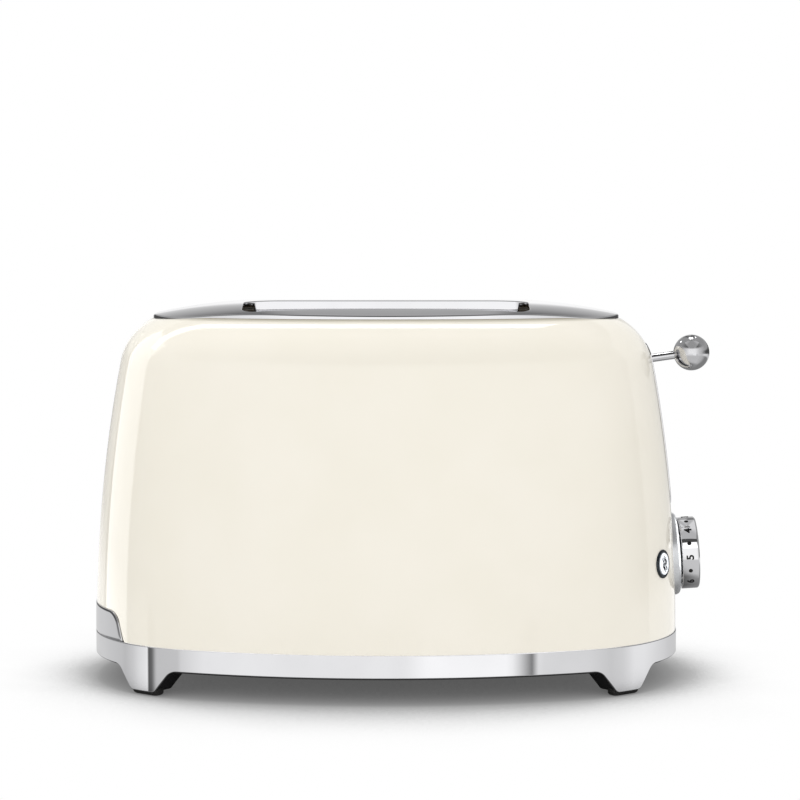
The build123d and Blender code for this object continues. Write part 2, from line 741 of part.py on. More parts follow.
for name, side in (("left", -1), ("right", 1)):
    with BuildPart() as end_plate:
        with BuildSketch(Plane.YZ.offset(side * PLATE_X)) as plate_face:
            with Locations((0, (FLOOR_TOP + CROWN_LOW) / 2)):
                Rectangle(2 * PLATE_HALF_WIDTH, CROWN_LOW - FLOOR_TOP)
            chamfer(plate_face.vertices().group_by(Axis.Y)[-1], PLATE_CORNER)
            with Locations((0, (FLOOR_TOP + TRAY_TOP) / 2)):
                Rectangle(2 * TRAY_NOTCH_HALF, TRAY_TOP - FLOOR_TOP + TRAY_END_CLEAR, mode=Mode.SUBTRACT)
            with Locations(*[(y, GUIDE_PIVOT_LEVEL) for y in guide_spots.values()]):
                Circle(GUIDE_PIVOT_RADIUS + PIVOT_CLEAR, mode=Mode.SUBTRACT)
            with Locations(*[(s * SLOT_Y, (rack_slot_low + rack_slot_top) / 2) for s in SIDES.values()]):
                Rectangle(
                    RACK_RAIL_WIDTH + 2 * RACK_CLEAR,
                    rack_slot_top - rack_slot_low,
                    mode=Mode.SUBTRACT,
                )
        extrude(amount=side * PLATE_THICK)
        with BuildSketch(Plane.XY.offset(FLOOR_TOP)):
            with Locations((side * SCREW_X, -TAB_Y), (side * SCREW_X, TAB_Y)):
                Rectangle(TAB_LENGTH, TAB_WIDTH)
                Circle(SCREW_RADIUS + PRESS_CLEAR, mode=Mode.SUBTRACT)
        extrude(amount=PLATE_THICK)
    save(end_plate, f"end_plate_{name}")

board_middle = (BOARD_LOW + BOARD_TOP) / 2
board_height = BOARD_TOP - BOARD_LOW


def draw_board():
    """Upright board or shield between the end plates, seen from the front."""
    with Locations((0, board_middle)):
        Rectangle(2 * PLATE_X, board_height)


def draw_ribbon():
    """Heating ribbon that runs to and fro up the board, seen from the front."""
    low = board_middle - RIBBON_PITCH * (RIBBON_ROWS - 1) / 2
    turn_x = (RIBBON_LENGTH - RIBBON_WIDTH) / 2
    for row in range(RIBBON_ROWS):
        with Locations((0, low + row * RIBBON_PITCH)):
            Rectangle(RIBBON_LENGTH, RIBBON_WIDTH)
    for row in range(RIBBON_ROWS - 1):
        side = 1 if row % 2 else -1
        with Locations((side * turn_x, low + (row + 0.5) * RIBBON_PITCH)):
            Rectangle(RIBBON_WIDTH, RIBBON_PITCH)


for name, side in SIDES.items():
    outward = -side
    with BuildPart() as heat_shield:
        with BuildSketch(Plane.XZ.offset(outward * SHIELD_Y)):
            draw_board()
        extrude(amount=outward * SHIELD_THICK)
    save(heat_shield, f"heat_shield_{name}")
    with BuildPart() as element_board:
        with BuildSketch(Plane.XZ.offset(outward * OUTER_BOARD_Y)):
            draw_board()
        extrude(amount=outward * BOARD_THICK)
    save(element_board, f"element_board_{name}")
    with BuildPart() as element_ribbon:
        with BuildSketch(Plane.XZ.offset(outward * OUTER_BOARD_Y)):
            draw_ribbon()
        extrude(amount=-outward * RIBBON_THICK)
    save(element_ribbon, f"element_ribbon_{name}")

with BuildPart() as element_board_middle:
    with BuildSketch(Plane.XZ.offset(-BOARD_THICK / 2)):
        draw_board()
    extrude(amount=BOARD_THICK)
save(element_board_middle, "element_board_middle")

with BuildPart() as element_ribbon_middle:
    for side in SIDES.values():
        with BuildSketch(Plane.XZ.offset(side * BOARD_THICK / 2)):
            draw_ribbon()
        extrude(amount=side * RIBBON_THICK)
save(element_ribbon_middle, "element_ribbon_middle")

pivot_half = PLATE_OUTER_X + GUIDE_END_REACH
rail_half = GUIDE_WIRE_PITCH * (GUIDE_WIRE_COUNT - 1) / 2 + 2 * GUIDE_RAIL_RADIUS

for name, y in guide_spots.items():
    with BuildPart() as bread_guide:
        with BuildSketch(Plane.YZ.offset(-pivot_half)):
            with Locations((y, GUIDE_PIVOT_LEVEL)):
                Circle(GUIDE_PIVOT_RADIUS)
        extrude(amount=2 * pivot_half)
        with BuildSketch(Plane.YZ.offset(-rail_half)):
            with Locations((y, GUIDE_TOP)):
                Circle(GUIDE_RAIL_RADIUS)
        extrude(amount=2 * rail_half)
        with BuildSketch(Plane.XY.offset(GUIDE_PIVOT_LEVEL)):
            with Locations((0, y)):
                with GridLocations(GUIDE_WIRE_PITCH, 1, GUIDE_WIRE_COUNT, 1):
                    Circle(GUIDE_WIRE_RADIUS)
        extrude(amount=GUIDE_TOP - GUIDE_PIVOT_LEVEL)
    save(bread_guide, f"bread_guide_{name}")


# Lift

rack_start = -PLATE_OUTER_X - RACK_OVERRUN
for name, side in SIDES.items():
    with BuildPart() as bread_rack:
        with BuildSketch(Plane.XY.offset(RACK_LOW)):
            with Locations(((rack_start + CARRIAGE_X) / 2, side * SLOT_Y)):
                Rectangle(CARRIAGE_X - rack_start, RACK_RAIL_WIDTH)
            with Locations((0, side * SLOT_Y)):
                with GridLocations(GUIDE_WIRE_PITCH, 1, GUIDE_WIRE_COUNT - 1, 1):
                    Rectangle(RACK_BAR_WIDTH, RACK_BAR_LENGTH)
        extrude(amount=RACK_HEIGHT)
    save(bread_rack, f"bread_rack_{name}")

arm_half = SLOT_Y + CARRIAGE_ARM_MARGIN
with BuildPart() as lift_carriage:
    with BuildSketch(Plane.YZ.offset(CARRIAGE_X)):
        with Locations((0, (CARRIAGE_LOW + CARRIAGE_ARM_TOP) / 2)):
            Rectangle(2 * arm_half, CARRIAGE_ARM_TOP - CARRIAGE_LOW)
        with Locations((0, (CARRIAGE_LOW + SLIDER_TOP) / 2)):
            Rectangle(CARRIAGE_SPINE_WIDTH, SLIDER_TOP - CARRIAGE_LOW)
    extrude(amount=CARRIAGE_THICK)
    with BuildSketch(Plane.XY.offset(CARRIAGE_LOW)):
        with Locations((SIDE_TAB_X, -SIDE_TAB_OFFSET), (SIDE_TAB_X, SIDE_TAB_OFFSET)):
            Rectangle(SIDE_TAB_LENGTH, SIDE_TAB_WIDTH)
    extrude(amount=CARRIAGE_THICK)
    with BuildSketch(Plane.XY.offset(CARRIAGE_ARM_TOP - CARRIAGE_THICK)):
        with Locations((SIDE_TAB_X, SPRING_OFFSET)):
            Rectangle(SIDE_TAB_LENGTH, 2 * SPRING_RADIUS)
    extrude(amount=CARRIAGE_THICK)
save(lift_carriage, "lift_carriage")

slider_length = SLIDER_FACE - CARRIAGE_FACE
socket_plane = stem_plane.offset(-(half_length(STEM_LEVEL) - SLIDER_FACE) / cos(radians(STEM_TILT)))
with BuildPart() as lift_slider:
    with BuildSketch(Plane.XY.offset(CARRIAGE_LOW)):
        with Locations(((CARRIAGE_FACE + SLIDER_FACE) / 2, 0)):
            Rectangle(slider_length, SLIDER_WIDTH)
        with Locations((ROD_X, 0)):
            Circle(ROD_RADIUS + ROD_CLEAR, mode=Mode.SUBTRACT)
    extrude(amount=SLIDER_TOP - CARRIAGE_LOW)
    with BuildSketch(socket_plane.offset(-SOCKET_DEPTH)):
        Circle(STEM_DIAMETER / 2 + SOCKET_CLEAR)
    extrude(amount=2 * SOCKET_DEPTH, mode=Mode.SUBTRACT)
save(lift_slider, "lift_slider")

stem_back = -(half_length(STEM_LEVEL) - SLIDER_FACE) / cos(radians(STEM_TILT)) - SOCKET_DEPTH
stem_front = BALL_REACH - BALL_RADIUS + BALL_SOCKET
with BuildPart() as lever_stem:
    with BuildSketch(stem_plane.offset(stem_back)):
        Circle(STEM_DIAMETER / 2)
    extrude(amount=stem_front - stem_back)
save(lever_stem, "lever_stem")

ball_plane = stem_plane.offset(BALL_REACH)
with BuildPart() as lever_ball:
    with Locations(ball_plane.location):
        Sphere(BALL_RADIUS)
    with BuildSketch(stem_plane.offset(stem_front - 2 * BALL_SOCKET)):
        Circle(STEM_DIAMETER / 2 + SOCKET_CLEAR)
    extrude(amount=2 * BALL_SOCKET, mode=Mode.SUBTRACT)
save(lever_ball, "lever_ball")

with BuildPart() as keeper_plate:
    with BuildSketch(Plane.XY.offset(KEEPER_LOW)):
        with Locations((SIDE_TAB_X, SIDE_TAB_OFFSET)):
            Rectangle(KEEPER_LENGTH, KEEPER_WIDTH)
    extrude(amount=KEEPER_THICK)
save(keeper_plate, "keeper_plate")

with BuildPart() as guide_rod:
    with BuildSketch(Plane.XY.offset(FLOOR_TOP)):
        with Locations((ROD_X, 0)):
            Circle(ROD_RADIUS)
    extrude(amount=BRACKET_LEVEL + BRACKET_THICK + ROD_OVERRUN - FLOOR_TOP)
save(guide_rod, "guide_rod")

with BuildPart() as rod_bracket:
    with BuildSketch(Plane.XY.offset(BRACKET_LEVEL)):
        with Locations(((PLATE_OUTER_X + SLIDER_FACE) / 2, 0)):
            Rectangle(SLIDER_FACE - PLATE_OUTER_X, BRACKET_WIDTH)
        with Locations((ROD_X, 0)):
            Circle(ROD_RADIUS + ROD_CLEAR, mode=Mode.SUBTRACT)
    extrude(amount=BRACKET_THICK)
save(rod_bracket, "rod_bracket")

spring_low = CARRIAGE_ARM_TOP + SPRING_SEAT + SPRING_WIRE
spring_height = BRACKET_LEVEL - SPRING_SEAT - SPRING_WIRE - spring_low
spring_steps = SPRING_TURNS * SPRING_CORNERS
half_step = pi / SPRING_CORNERS
corner_reach = (SPRING_RADIUS - SPRING_WIRE) / cos(half_step)
corner_run = 2 * corner_reach * sin(half_step)
spring_points = [
    (
        ROD_X + corner_reach * cos(2 * half_step * step),
        SPRING_OFFSET + corner_reach * sin(2 * half_step * step),
        spring_low + spring_height * step / spring_steps,
    )
    for step in range(spring_steps + 1)
]
with BuildPart() as return_spring:
    with BuildLine() as spring_line:
        FilletPolyline(*spring_points, radius=SPRING_ROUNDING * corner_run / tan(half_step))
    with BuildSketch(Plane(spring_line.wire() @ 0, z_dir=spring_line.wire() % 0)):
        Circle(SPRING_WIRE)
    sweep()
save(return_spring, "return_spring")

core_top = KEEPER_LOW - LIFT_TRAVEL - MAGNET_GAP
with BuildPart() as magnet_core:
    with BuildSketch(Plane.XY.offset(FLOOR_TOP)):
        with Locations((SIDE_TAB_X, SIDE_TAB_OFFSET)):
            Circle(COIL_RADIUS)
    extrude(amount=CORE_FLANGE)
    with BuildSketch(Plane.XY.offset(FLOOR_TOP)):
        with Locations((SIDE_TAB_X, SIDE_TAB_OFFSET)):
            Circle(CORE_RADIUS)
    extrude(amount=core_top - FLOOR_TOP)
save(magnet_core, "magnet_core")

with BuildPart() as magnet_coil:
    with BuildSketch(Plane.XY.offset(FLOOR_TOP + CORE_FLANGE)):
        with Locations((SIDE_TAB_X, SIDE_TAB_OFFSET)):
            Circle(COIL_RADIUS)
            Circle(CORE_RADIUS + COIL_CLEAR, mode=Mode.SUBTRACT)
    extrude(amount=COIL_HEIGHT)
save(magnet_coil, "magnet_coil")

with BuildPart() as mains_switch:
    with BuildSketch(Plane.XY.offset(FLOOR_TOP)):
        with Locations((SIDE_TAB_X, -SIDE_TAB_OFFSET)):
            Rectangle(SWITCH_LENGTH, SWITCH_WIDTH)
    extrude(amount=SWITCH_HEIGHT)
    with BuildSketch(Plane.XY.offset(FLOOR_TOP)):
        with Locations((SIDE_TAB_X, -SIDE_TAB_OFFSET)):
            Circle(SWITCH_PLUNGER_RADIUS)
    extrude(amount=CARRIAGE_LOW - LIFT_TRAVEL - SWITCH_GAP - FLOOR_TOP)
save(mains_switch, "mains_switch")

with BuildPart() as terminal_block:
    with BuildSketch(Plane.XY.offset(FLOOR_TOP)):
        with Locations((SCREW_X + TAB_LENGTH / 2 + TERMINAL_LENGTH / 2, TAB_Y)):
            Rectangle(TERMINAL_LENGTH, TERMINAL_WIDTH)
    extrude(amount=TERMINAL_HEIGHT)
save(terminal_block, "terminal_block")

with BuildPart() as lever_trim:
    add(trim_outer_form)
    add(trim_inner_form, mode=Mode.SUBTRACT)
    with BuildSketch(Plane.YZ):
        with Locations((0, (TRIM_LOW + TRIM_TOP) / 2)):
            SlotOverall(TRIM_TOP - TRIM_LOW, TRIM_WIDTH, rotation=90)
    extrude(amount=BODY_LENGTH, mode=Mode.INTERSECT)
    with BuildSketch(Plane.YZ):
        draw_slit(SLIT_CLEAR)
    extrude(amount=BODY_LENGTH, mode=Mode.SUBTRACT)
save(lever_trim, "lever_trim")


# Dial

with BuildPart() as dial_collar:
    with BuildSketch(dial_plane.offset(COLLAR_BACK)):
        Circle(COLLAR_RADIUS)
    extrude(amount=COLLAR_FRONT - COLLAR_FLARE - COLLAR_BACK)
    for share in (0.0, 0.5, 1.0):
        with BuildSketch(dial_plane.offset(COLLAR_FRONT - COLLAR_FLARE * (1 - share))):
            Circle(COLLAR_RADIUS - (COLLAR_RADIUS - COLLAR_NOSE_RADIUS) * share**2)
    loft()
    with BuildSketch(dial_plane.offset(COLLAR_BACK)):
        Circle(COLLAR_THROAT)
    extrude(amount=COLLAR_FRONT - COLLAR_BACK, mode=Mode.SUBTRACT)
    with BuildSketch(dial_plane.offset(COLLAR_STEP)):
        Circle(LIGHT_RING_RADIUS + PRESS_CLEAR)
    extrude(amount=COLLAR_FRONT - COLLAR_STEP, mode=Mode.SUBTRACT)
save(dial_collar, "dial_collar")

with BuildPart() as dial_light_ring:
    with BuildSketch(dial_plane.offset(COLLAR_STEP)):
        Circle(LIGHT_RING_RADIUS)
        Circle(LIGHT_RING_BORE, mode=Mode.SUBTRACT)
    extrude(amount=LIGHT_RING_FRONT - COLLAR_STEP)
save(dial_light_ring, "dial_light_ring")

with BuildPart() as browning_dial:
    with BuildSketch(dial_plane.offset(DIAL_BACK)):
        Circle(DIAL_RADIUS)
        Circle(DIAL_RADIUS - DIAL_WALL, mode=Mode.SUBTRACT)
    extrude(amount=DIAL_FRONT - DIAL_BACK)
    with BuildSketch(dial_plane.offset(DIAL_FRONT - DIAL_WEB)):
        Circle(DIAL_RADIUS - DIAL_WALL / 2)
        Circle(SLEEVE_RADIUS - SLEEVE_WALL, mode=Mode.SUBTRACT)
    extrude(amount=DIAL_WEB)
    with BuildSketch(dial_plane.offset(SLEEVE_BACK)):
        Circle(SLEEVE_RADIUS)
        Circle(SLEEVE_RADIUS - SLEEVE_WALL, mode=Mode.SUBTRACT)
    extrude(amount=DIAL_FRONT - SLEEVE_BACK)
    with BuildSketch(dial_plane.offset(SLEEVE_BACK)):
        Circle(SLEEVE_RADIUS)
        Circle(PLUNGER_RADIUS + PRESS_CLEAR, mode=Mode.SUBTRACT)
    extrude(amount=DIAL_WEB)
    with BuildSketch(dial_plane.offset(SHAFT_BACK)):
        Circle(SHAFT_RADIUS)
        Circle(PLUNGER_RADIUS + PRESS_CLEAR, mode=Mode.SUBTRACT)
    extrude(amount=SLEEVE_BACK - SHAFT_BACK)
    rim_edges = browning_dial.edges().filter_by(GeomType.CIRCLE).group_by(SortBy.RADIUS)[-1]
    fillet(rim_edges.sort_by(Axis.X)[-1], DIAL_RIM_ROUND)
save(browning_dial, "browning_dial")

cancel_front = DIAL_FRONT + CANCEL_PROUD
with BuildPart() as cancel_button:
    with BuildSketch(dial_plane.offset(cancel_front - CANCEL_THICK)):
        Circle(SLEEVE_RADIUS - SLEEVE_WALL - PRESS_CLEAR)
    extrude(amount=CANCEL_THICK)
    with BuildSketch(dial_plane.offset(SHAFT_BACK)):
        Circle(PLUNGER_RADIUS)
    extrude(amount=cancel_front - SHAFT_BACK)
    fillet(cancel_button.edges().sort_by(Axis.X)[-1], CANCEL_PROUD)
save(cancel_button, "cancel_button")

with BuildPart() as dial_sensor:
    with BuildSketch(dial_plane.offset(BOARD_FACE)):
        Circle(POT_RADIUS)
        Circle(SHAFT_RADIUS + ROD_CLEAR, mode=Mode.SUBTRACT)
    extrude(amount=POT_FRONT - BOARD_FACE)
save(dial_sensor, "dial_sensor")

with BuildPart() as cancel_switch:
    with BuildSketch(dial_plane.offset(BOARD_FACE)):
        Circle(CANCEL_SWITCH_RADIUS)
    extrude(amount=SHAFT_BACK - CANCEL_TRAVEL - TACT_GAP - BOARD_FACE)
save(cancel_switch, "cancel_switch")

with BuildPart() as control_board:
    with BuildSketch(dial_plane.offset(BOARD_FACE - CONTROL_BOARD_THICK)):
        with Locations((0, (CONTROL_BOARD_UP - CONTROL_BOARD_DOWN) / 2)):
            Rectangle(CONTROL_BOARD_WIDTH, CONTROL_BOARD_UP + CONTROL_BOARD_DOWN)
    extrude(amount=CONTROL_BOARD_THICK)
save(control_board, "control_board")

with BuildPart() as board_brace:
    with BuildSketch(dial_plane.offset(BOARD_FACE - CONTROL_BOARD_THICK - BRACE_THICK)):
        with Locations((0, (BRACE_UP - BRACE_DOWN) / 2)):
            Rectangle(CONTROL_BOARD_WIDTH, BRACE_UP + BRACE_DOWN)
    extrude(amount=BRACE_THICK)
    split(bisect_by=Plane.XY.offset(FLOOR_TOP), keep=Keep.TOP)
save(board_brace, "board_brace")


# Side buttons

for name, plane in button_planes.items():
    with BuildPart() as button_bezel:
        with BuildSketch(plane.offset(BEZEL_BACK)):
            Circle(BEZEL_RADIUS)
            Circle(BUTTON_RADIUS + PRESS_CLEAR, mode=Mode.SUBTRACT)
        extrude(amount=BEZEL_PROUD - BEZEL_BACK)
    save(button_bezel, f"button_bezel_{name}")
    with BuildPart() as side_button:
        with BuildSketch(plane.offset(BUTTON_BACK)):
            Circle(BUTTON_RADIUS)
        extrude(amount=BUTTON_PROUD - BUTTON_BACK)
    save(side_button, f"side_button_{name}")
    with BuildPart() as button_board:
        with BuildSketch(plane.offset(BEZEL_BACK - CONTROL_BOARD_THICK)):
            Rectangle(BUTTON_BOARD_SIZE, BUTTON_BOARD_SIZE)
        extrude(amount=CONTROL_BOARD_THICK)
        with BuildSketch(plane.offset(BEZEL_BACK)):
            Circle(TACT_RADIUS)
        extrude(amount=BUTTON_BACK - BUTTON_TRAVEL - TACT_GAP - BEZEL_BACK)
    save(button_board, f"button_board_{name}")


# Crumb tray

tray_right = PLATE_X - TRAY_END_CLEAR
with BuildPart() as crumb_tray:
    with BuildSketch(Plane.XY.offset(TRAY_LOW)):
        with Locations(((tray_right - BODY_LENGTH) / 2, 0)):
            Rectangle(tray_right + BODY_LENGTH, TRAY_WIDTH)
    extrude(amount=TRAY_HEIGHT)
    add(tray_end_form, mode=Mode.INTERSECT)
    with BuildSketch(Plane.XY.offset(TRAY_LOW + TRAY_WALL)):
        with Locations(((tray_right - PLATE_OUTER_X) / 2 - TRAY_WALL, 0)):
            Rectangle(tray_right + PLATE_OUTER_X, TRAY_WIDTH - 2 * TRAY_WALL)
    extrude(amount=TRAY_HEIGHT, mode=Mode.SUBTRACT)
    with BuildSketch(Plane.XY.offset(TRAY_LOW + TRAY_WALL)):
        with Locations((-PLATE_OUTER_X - 2 * TRAY_WALL - BODY_LENGTH / 2, 0)):
            Rectangle(BODY_LENGTH, TRAY_WIDTH - 2 * TRAY_WALL)
    extrude(amount=TRAY_HEIGHT, mode=Mode.SUBTRACT)
save(crumb_tray, "crumb_tray")

with BuildPart() as tray_panel:
    add(panel_outer_form)
    add(panel_inner_form, mode=Mode.SUBTRACT)
    with BuildSketch(Plane.YZ):
        draw_panel(-PANEL_CLEAR)
    extrude(amount=-BODY_LENGTH, mode=Mode.INTERSECT)
save(tray_panel, "tray_panel")
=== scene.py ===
import json
import math

import bpy
import numpy as np
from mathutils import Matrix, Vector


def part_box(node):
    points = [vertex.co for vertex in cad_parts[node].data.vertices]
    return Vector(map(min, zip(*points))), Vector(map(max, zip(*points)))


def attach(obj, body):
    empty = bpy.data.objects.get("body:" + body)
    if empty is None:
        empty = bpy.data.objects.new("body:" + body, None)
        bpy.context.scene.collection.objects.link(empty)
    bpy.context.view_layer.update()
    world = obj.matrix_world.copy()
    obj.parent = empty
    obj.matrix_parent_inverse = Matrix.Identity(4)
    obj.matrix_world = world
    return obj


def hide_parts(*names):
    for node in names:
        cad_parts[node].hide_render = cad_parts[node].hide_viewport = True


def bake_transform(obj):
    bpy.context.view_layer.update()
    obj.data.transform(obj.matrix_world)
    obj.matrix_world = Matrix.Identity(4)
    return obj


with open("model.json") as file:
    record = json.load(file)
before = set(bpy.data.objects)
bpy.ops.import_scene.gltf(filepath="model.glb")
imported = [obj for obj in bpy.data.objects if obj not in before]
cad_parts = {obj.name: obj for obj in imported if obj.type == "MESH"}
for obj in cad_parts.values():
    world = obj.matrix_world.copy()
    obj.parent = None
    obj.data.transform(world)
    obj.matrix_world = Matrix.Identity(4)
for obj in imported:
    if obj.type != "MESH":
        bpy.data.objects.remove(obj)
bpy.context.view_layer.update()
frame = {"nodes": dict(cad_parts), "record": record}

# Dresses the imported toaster. Shapes are worked out in millimetres in the frame of the solids:
# +Z is up, the front faces -Y, and the lever and the dial are at the +X end.

MM = 0.001
# In millimetres: how close corners are welded, points are one pole, and a length is none
WELD = 0.001
ONE_POLE = 1e-9
NO_LENGTH = 1e-12


def node_box(name):
    """Lowest and highest corner of a solid at rest, in millimetres."""
    low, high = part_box(name)
    return np.array(low) / MM, np.array(high) / MM


# Sizes read from the solids
shell_low, shell_high = node_box("body_shell")
crown_low, crown_high = node_box("top_crown")
HALF_LENGTH = shell_high[0]
HALF_DEPTH = shell_high[1]
BAND_TOP = shell_low[2]
CROWN_HALF_LENGTH = crown_high[0]
CROWN_HALF_DEPTH = crown_high[1]
CROWN_LOW = crown_low[2]
CROWN_TOP = crown_high[2]
FOOT_LOW = node_box("base_band")[0][2]

# Form of the body: arcs of its plan, bows of its upright lines, shoulder and sheet
FRONT_RADIUS = 302.0
END_RADIUS = 400.0
CORNER_SHARE = 0.07913
END_BOW = 735.0
FRONT_BOW = 578.0
SHOULDER_LEVEL = CROWN_TOP - 30.5
SHOULDER_RADIUS = 25.0
SHOULDER_LIMIT = math.radians(80)
SHELL_WALL = 1.2
SHELL_EDGE = 0.35
# Height of the band of painted shade along the shell's top edge under the crown
CROWN_SHADE_BAND = 1.9
# Levels between which the shell's rows lie close, so that the edges of its holes are fine
CLOSE_ROWS_LOW = 44.0
CLOSE_ROWS_TOP = 84.0
CLOSE_ROW_STEP = 1.0
# Rows below the close ones, above them and on the shoulder, and columns from the front to the end
BODY_ROWS = (12, 26, 22)
BODY_COLUMNS = (14, 92, 11)

# Form of the crown: arcs of its plan, sheet, flat middle and bows of its dome, and the bread slots
CROWN_FRONT_RADIUS = 302.0
CROWN_END_RADIUS = 200.0
CROWN_CORNER_SHARE = 0.0697
CROWN_GAP = 0.4
CROWN_WALL = 1.2
CROWN_FILLET = 0.9
CROWN_FLAT_LENGTH = 55.0
CROWN_FLAT_DEPTH = 18.0
CROWN_END_BOW = 319.0
CROWN_SIDE_BOW = 135.4
SLOT_HALF_LENGTH = 74.0
SLOT_HALF_WIDTH = 18.0
SLOT_CORNER = 8.0
SLOT_Y = 27.0
SLOT_FLANGE = 9.0
SLOT_ROLL = 0.5
SLOT_END_LIP = 1.5
# An edge of a slot that faces along the crown by more than this share belongs to the slot's end
SLOT_END_FACING = 0.3
# Rays across the crown: where they fan out, how many they are, and the rows along them
FAN_X = 56.0
FAN_MIDDLE_RAYS = 16
FAN_OUTER_RAYS = 40
STRAIGHT_RAYS = 24
DOME_ROWS = 15
ROLL_ROWS = 7
# Reaches between which a ray leaves the slot and the crown, and that of a ray that meets no middle line
SLOT_RAY_FAR = 40.0
RIM_RAY_NEAR = 10.0
RIM_RAY_FAR = 120.0
NEVER = 1e9

# Form of the band and the feet
BAND_LOW = 13.9
BAND_PROUD = 0.4
BAND_WALL = 2.0
BAND_EDGE = 0.45
# Rows of the band, and columns to the corner, over a foot, past it and on the end
BAND_ROWS = 18
BAND_COLUMNS = (16, 150, 34, 5)
FOOT_TURN = math.radians(38.2)
FOOT_TURN_LIMIT = math.radians(57)
FOOT_TOP_HALF = 17.65
FOOT_LOW_HALF = 7.75
FOOT_SWEEP = 8.0
FOOT_TIP = 3.5
PAD_HEIGHT = 2.0
PAD_HALF_WIDTH = 8.7
PAD_HALF_DEPTH = 3.0
PAD_INSET = 4.6
PAD_CORNER = 1.4
PAD_SUNK = 2.0
# Side of a pad from the floor up: how far it is drawn in, and at what height
PAD_PROFILE = [(2.4, 0.0), (1.3, 0.2), (0.55, 0.65), (0.15, 1.3), (0.0, PAD_HEIGHT + PAD_SUNK)]

# Crumb tray front
PANEL_CLEAR = 0.3
PANEL_TOP = BAND_TOP + 14.9
PANEL_TOP_HALF = 53.0
PANEL_LOW_HALF = 57.5
PANEL_SWEEP = 8.0
PANEL_PROUD = 0.4
PANEL_WALL = 2.0
PANEL_EDGE = 0.3
PANEL_SEAM = 0.05
PANEL_LOW_CORNER = 0.8
# Its grid: half of the middle line, step along the outline, rows, and how they crowd towards the rim
PANEL_MIDDLE_HALF = 40.0
PANEL_STEP = 1.5
PANEL_ROWS = 10
PANEL_CROWDING = 1.5

# Lever, its slit and the plate round it
STEM_LEVEL = SHOULDER_LEVEL - 0.5
STEM_TILT = math.radians(8.2)
STEM_RADIUS = 2.15
STEM_BACK = -32.97
STEM_EDGE = 0.4
STEM_IN_BALL = 4.0
STEM_CLEAR = 0.05
BALL_REACH = 22.2
BALL_RADIUS = 9.5
LIFT_TRAVEL = 66.0
SLIT_HALF = 2.75
SLIT_TOP = STEM_LEVEL + 3.55
SLIT_LOW = STEM_LEVEL - LIFT_TRAVEL - 2.55
TRIM_HALF = 8.5
TRIM_TOP = STEM_LEVEL + 8.5
TRIM_LOW = STEM_LEVEL - LIFT_TRAVEL - 11.0
TRIM_PROUD = 0.85
TRIM_WALL = 0.8
TRIM_EDGE = 0.25
STEM_COLUMNS = 48
BALL_ROWS = 64
TRIM_ROWS = 5

# Dial, with stations along its axis from the body's surface
DIAL_LEVEL = 63.2
DIAL_TILT = math.radians(3.7)
DIAL_RADIUS = 19.0
DIAL_BACK = 3.6
DIAL_FRONT = 12.9
DIAL_WALL = 2.0
DIAL_RIM = 1.8
DIAL_SLOPE = 0.8
DIAL_DISH = 0.4
DIAL_FACE_WALL = 1.7
SLEEVE_BORE = 9.0
SLEEVE_LIP = 10.0
SLEEVE_SLOPE = 0.6
SLEEVE_RADIUS = 11.0
SLEEVE_FLOOR = 0.7
SLEEVE_BACK = -1.0
SPINDLE_BORE = 2.75
SPINDLE_RADIUS = 4.2
SPINDLE_BACK = -17.0

# Cancel button in the dial
PLUNGER_RADIUS = 2.6
CAP_RADIUS = 8.85
CAP_BACK = 9.3
CAP_FRONT = 13.3
CAP_DISH = 0.4
CAP_DISH_RADIUS = 6.0

# Collar and dark ring behind the dial
COLLAR_BACK = -9.0
COLLAR_BORE = 14.0
COLLAR_SEAT = -2.0
COLLAR_SEAT_RADIUS = 18.35
COLLAR_FRONT = 2.6
# Flare of the collar from its back to its front: radius, station and how far the corner is rounded
COLLAR_FLARE = [(22.3, COLLAR_BACK, 0.4), (22.3, -1.6, 6.0), (21.7, 1.4, 2.5), (20.8, COLLAR_FRONT, 0.9)]
RING_RADIUS = 18.2
RING_BORE = 12.0
RING_FRONT = 3.2

# Numbers and dots on the dial's rim
NUMBERS = 6
NUMBER_ON_TOP = 3
NUMBER_TURN = math.radians(45)
NUMBER_HEIGHT = 4.0
NUMBER_STRETCH = 1.08
NUMBER_LIFT = 0.09
NUMBER_SHIFT = 0.5
# The type as it is drawn, before it is brought to the number's height
NUMBER_TYPE_SIZE = 5.6
NUMBER_WEIGHT = 0.18
NUMBER_HALF_FILM = 0.05
DOT_RADIUS = 1.1
DOT_SUNK = 0.03
DOT_PROUD = 0.06
DOT_STEPS = 24

# Side buttons
BUTTON_LEVEL = DIAL_LEVEL + 0.6
BUTTON_TURN = math.radians(61.4)
BUTTON_RADIUS = 5.75
BUTTON_BACK = -9.0
BUTTON_EDGE = 1.2
BUTTON_PROUD = 1.3
BUTTON_FLAT = 3.0
BEZEL_RADIUS = 7.4
BEZEL_BORE = 5.9
BEZEL_BACK = -13.0
BEZEL_PROUD = 0.9

# Holes in the shell behind the lever's plate, the collar and the bezels, and how deep one is cut
SLIT_HOLE_HALF = 4.2
SLIT_HOLE_EXTRA = 2.0
COLLAR_HOLE = 19.5
BEZEL_HOLE = 6.6
HOLE_REACH = 20.0

# Wavy mark on the side buttons
MARK_HALF_HEIGHT = 4.3
MARK_SHORTER = 0.9
MARK_SPACING = 1.7
MARK_SWAY = 0.6
MARK_HALF_WIDTH = 0.45
# Square of the share of its width that a line keeps at its ends
MARK_END_SQUARE = 0.02
MARK_SUNK = 0.03
MARK_PROUD = 0.06
MARK_STEPS = 41

# Return spring between the carriage and its bracket
SPRING_RADIUS = 3.7
SPRING_WIRE = 0.5
SPRING_TURNS = 10
SPRING_STEPS = 36
WIRE_STEPS = 12

# Steps of an arc round a sheet's edge, and columns of a large turned piece
EDGE_STEPS = 4
FINE_COLUMNS = 144


# Grids and meshes

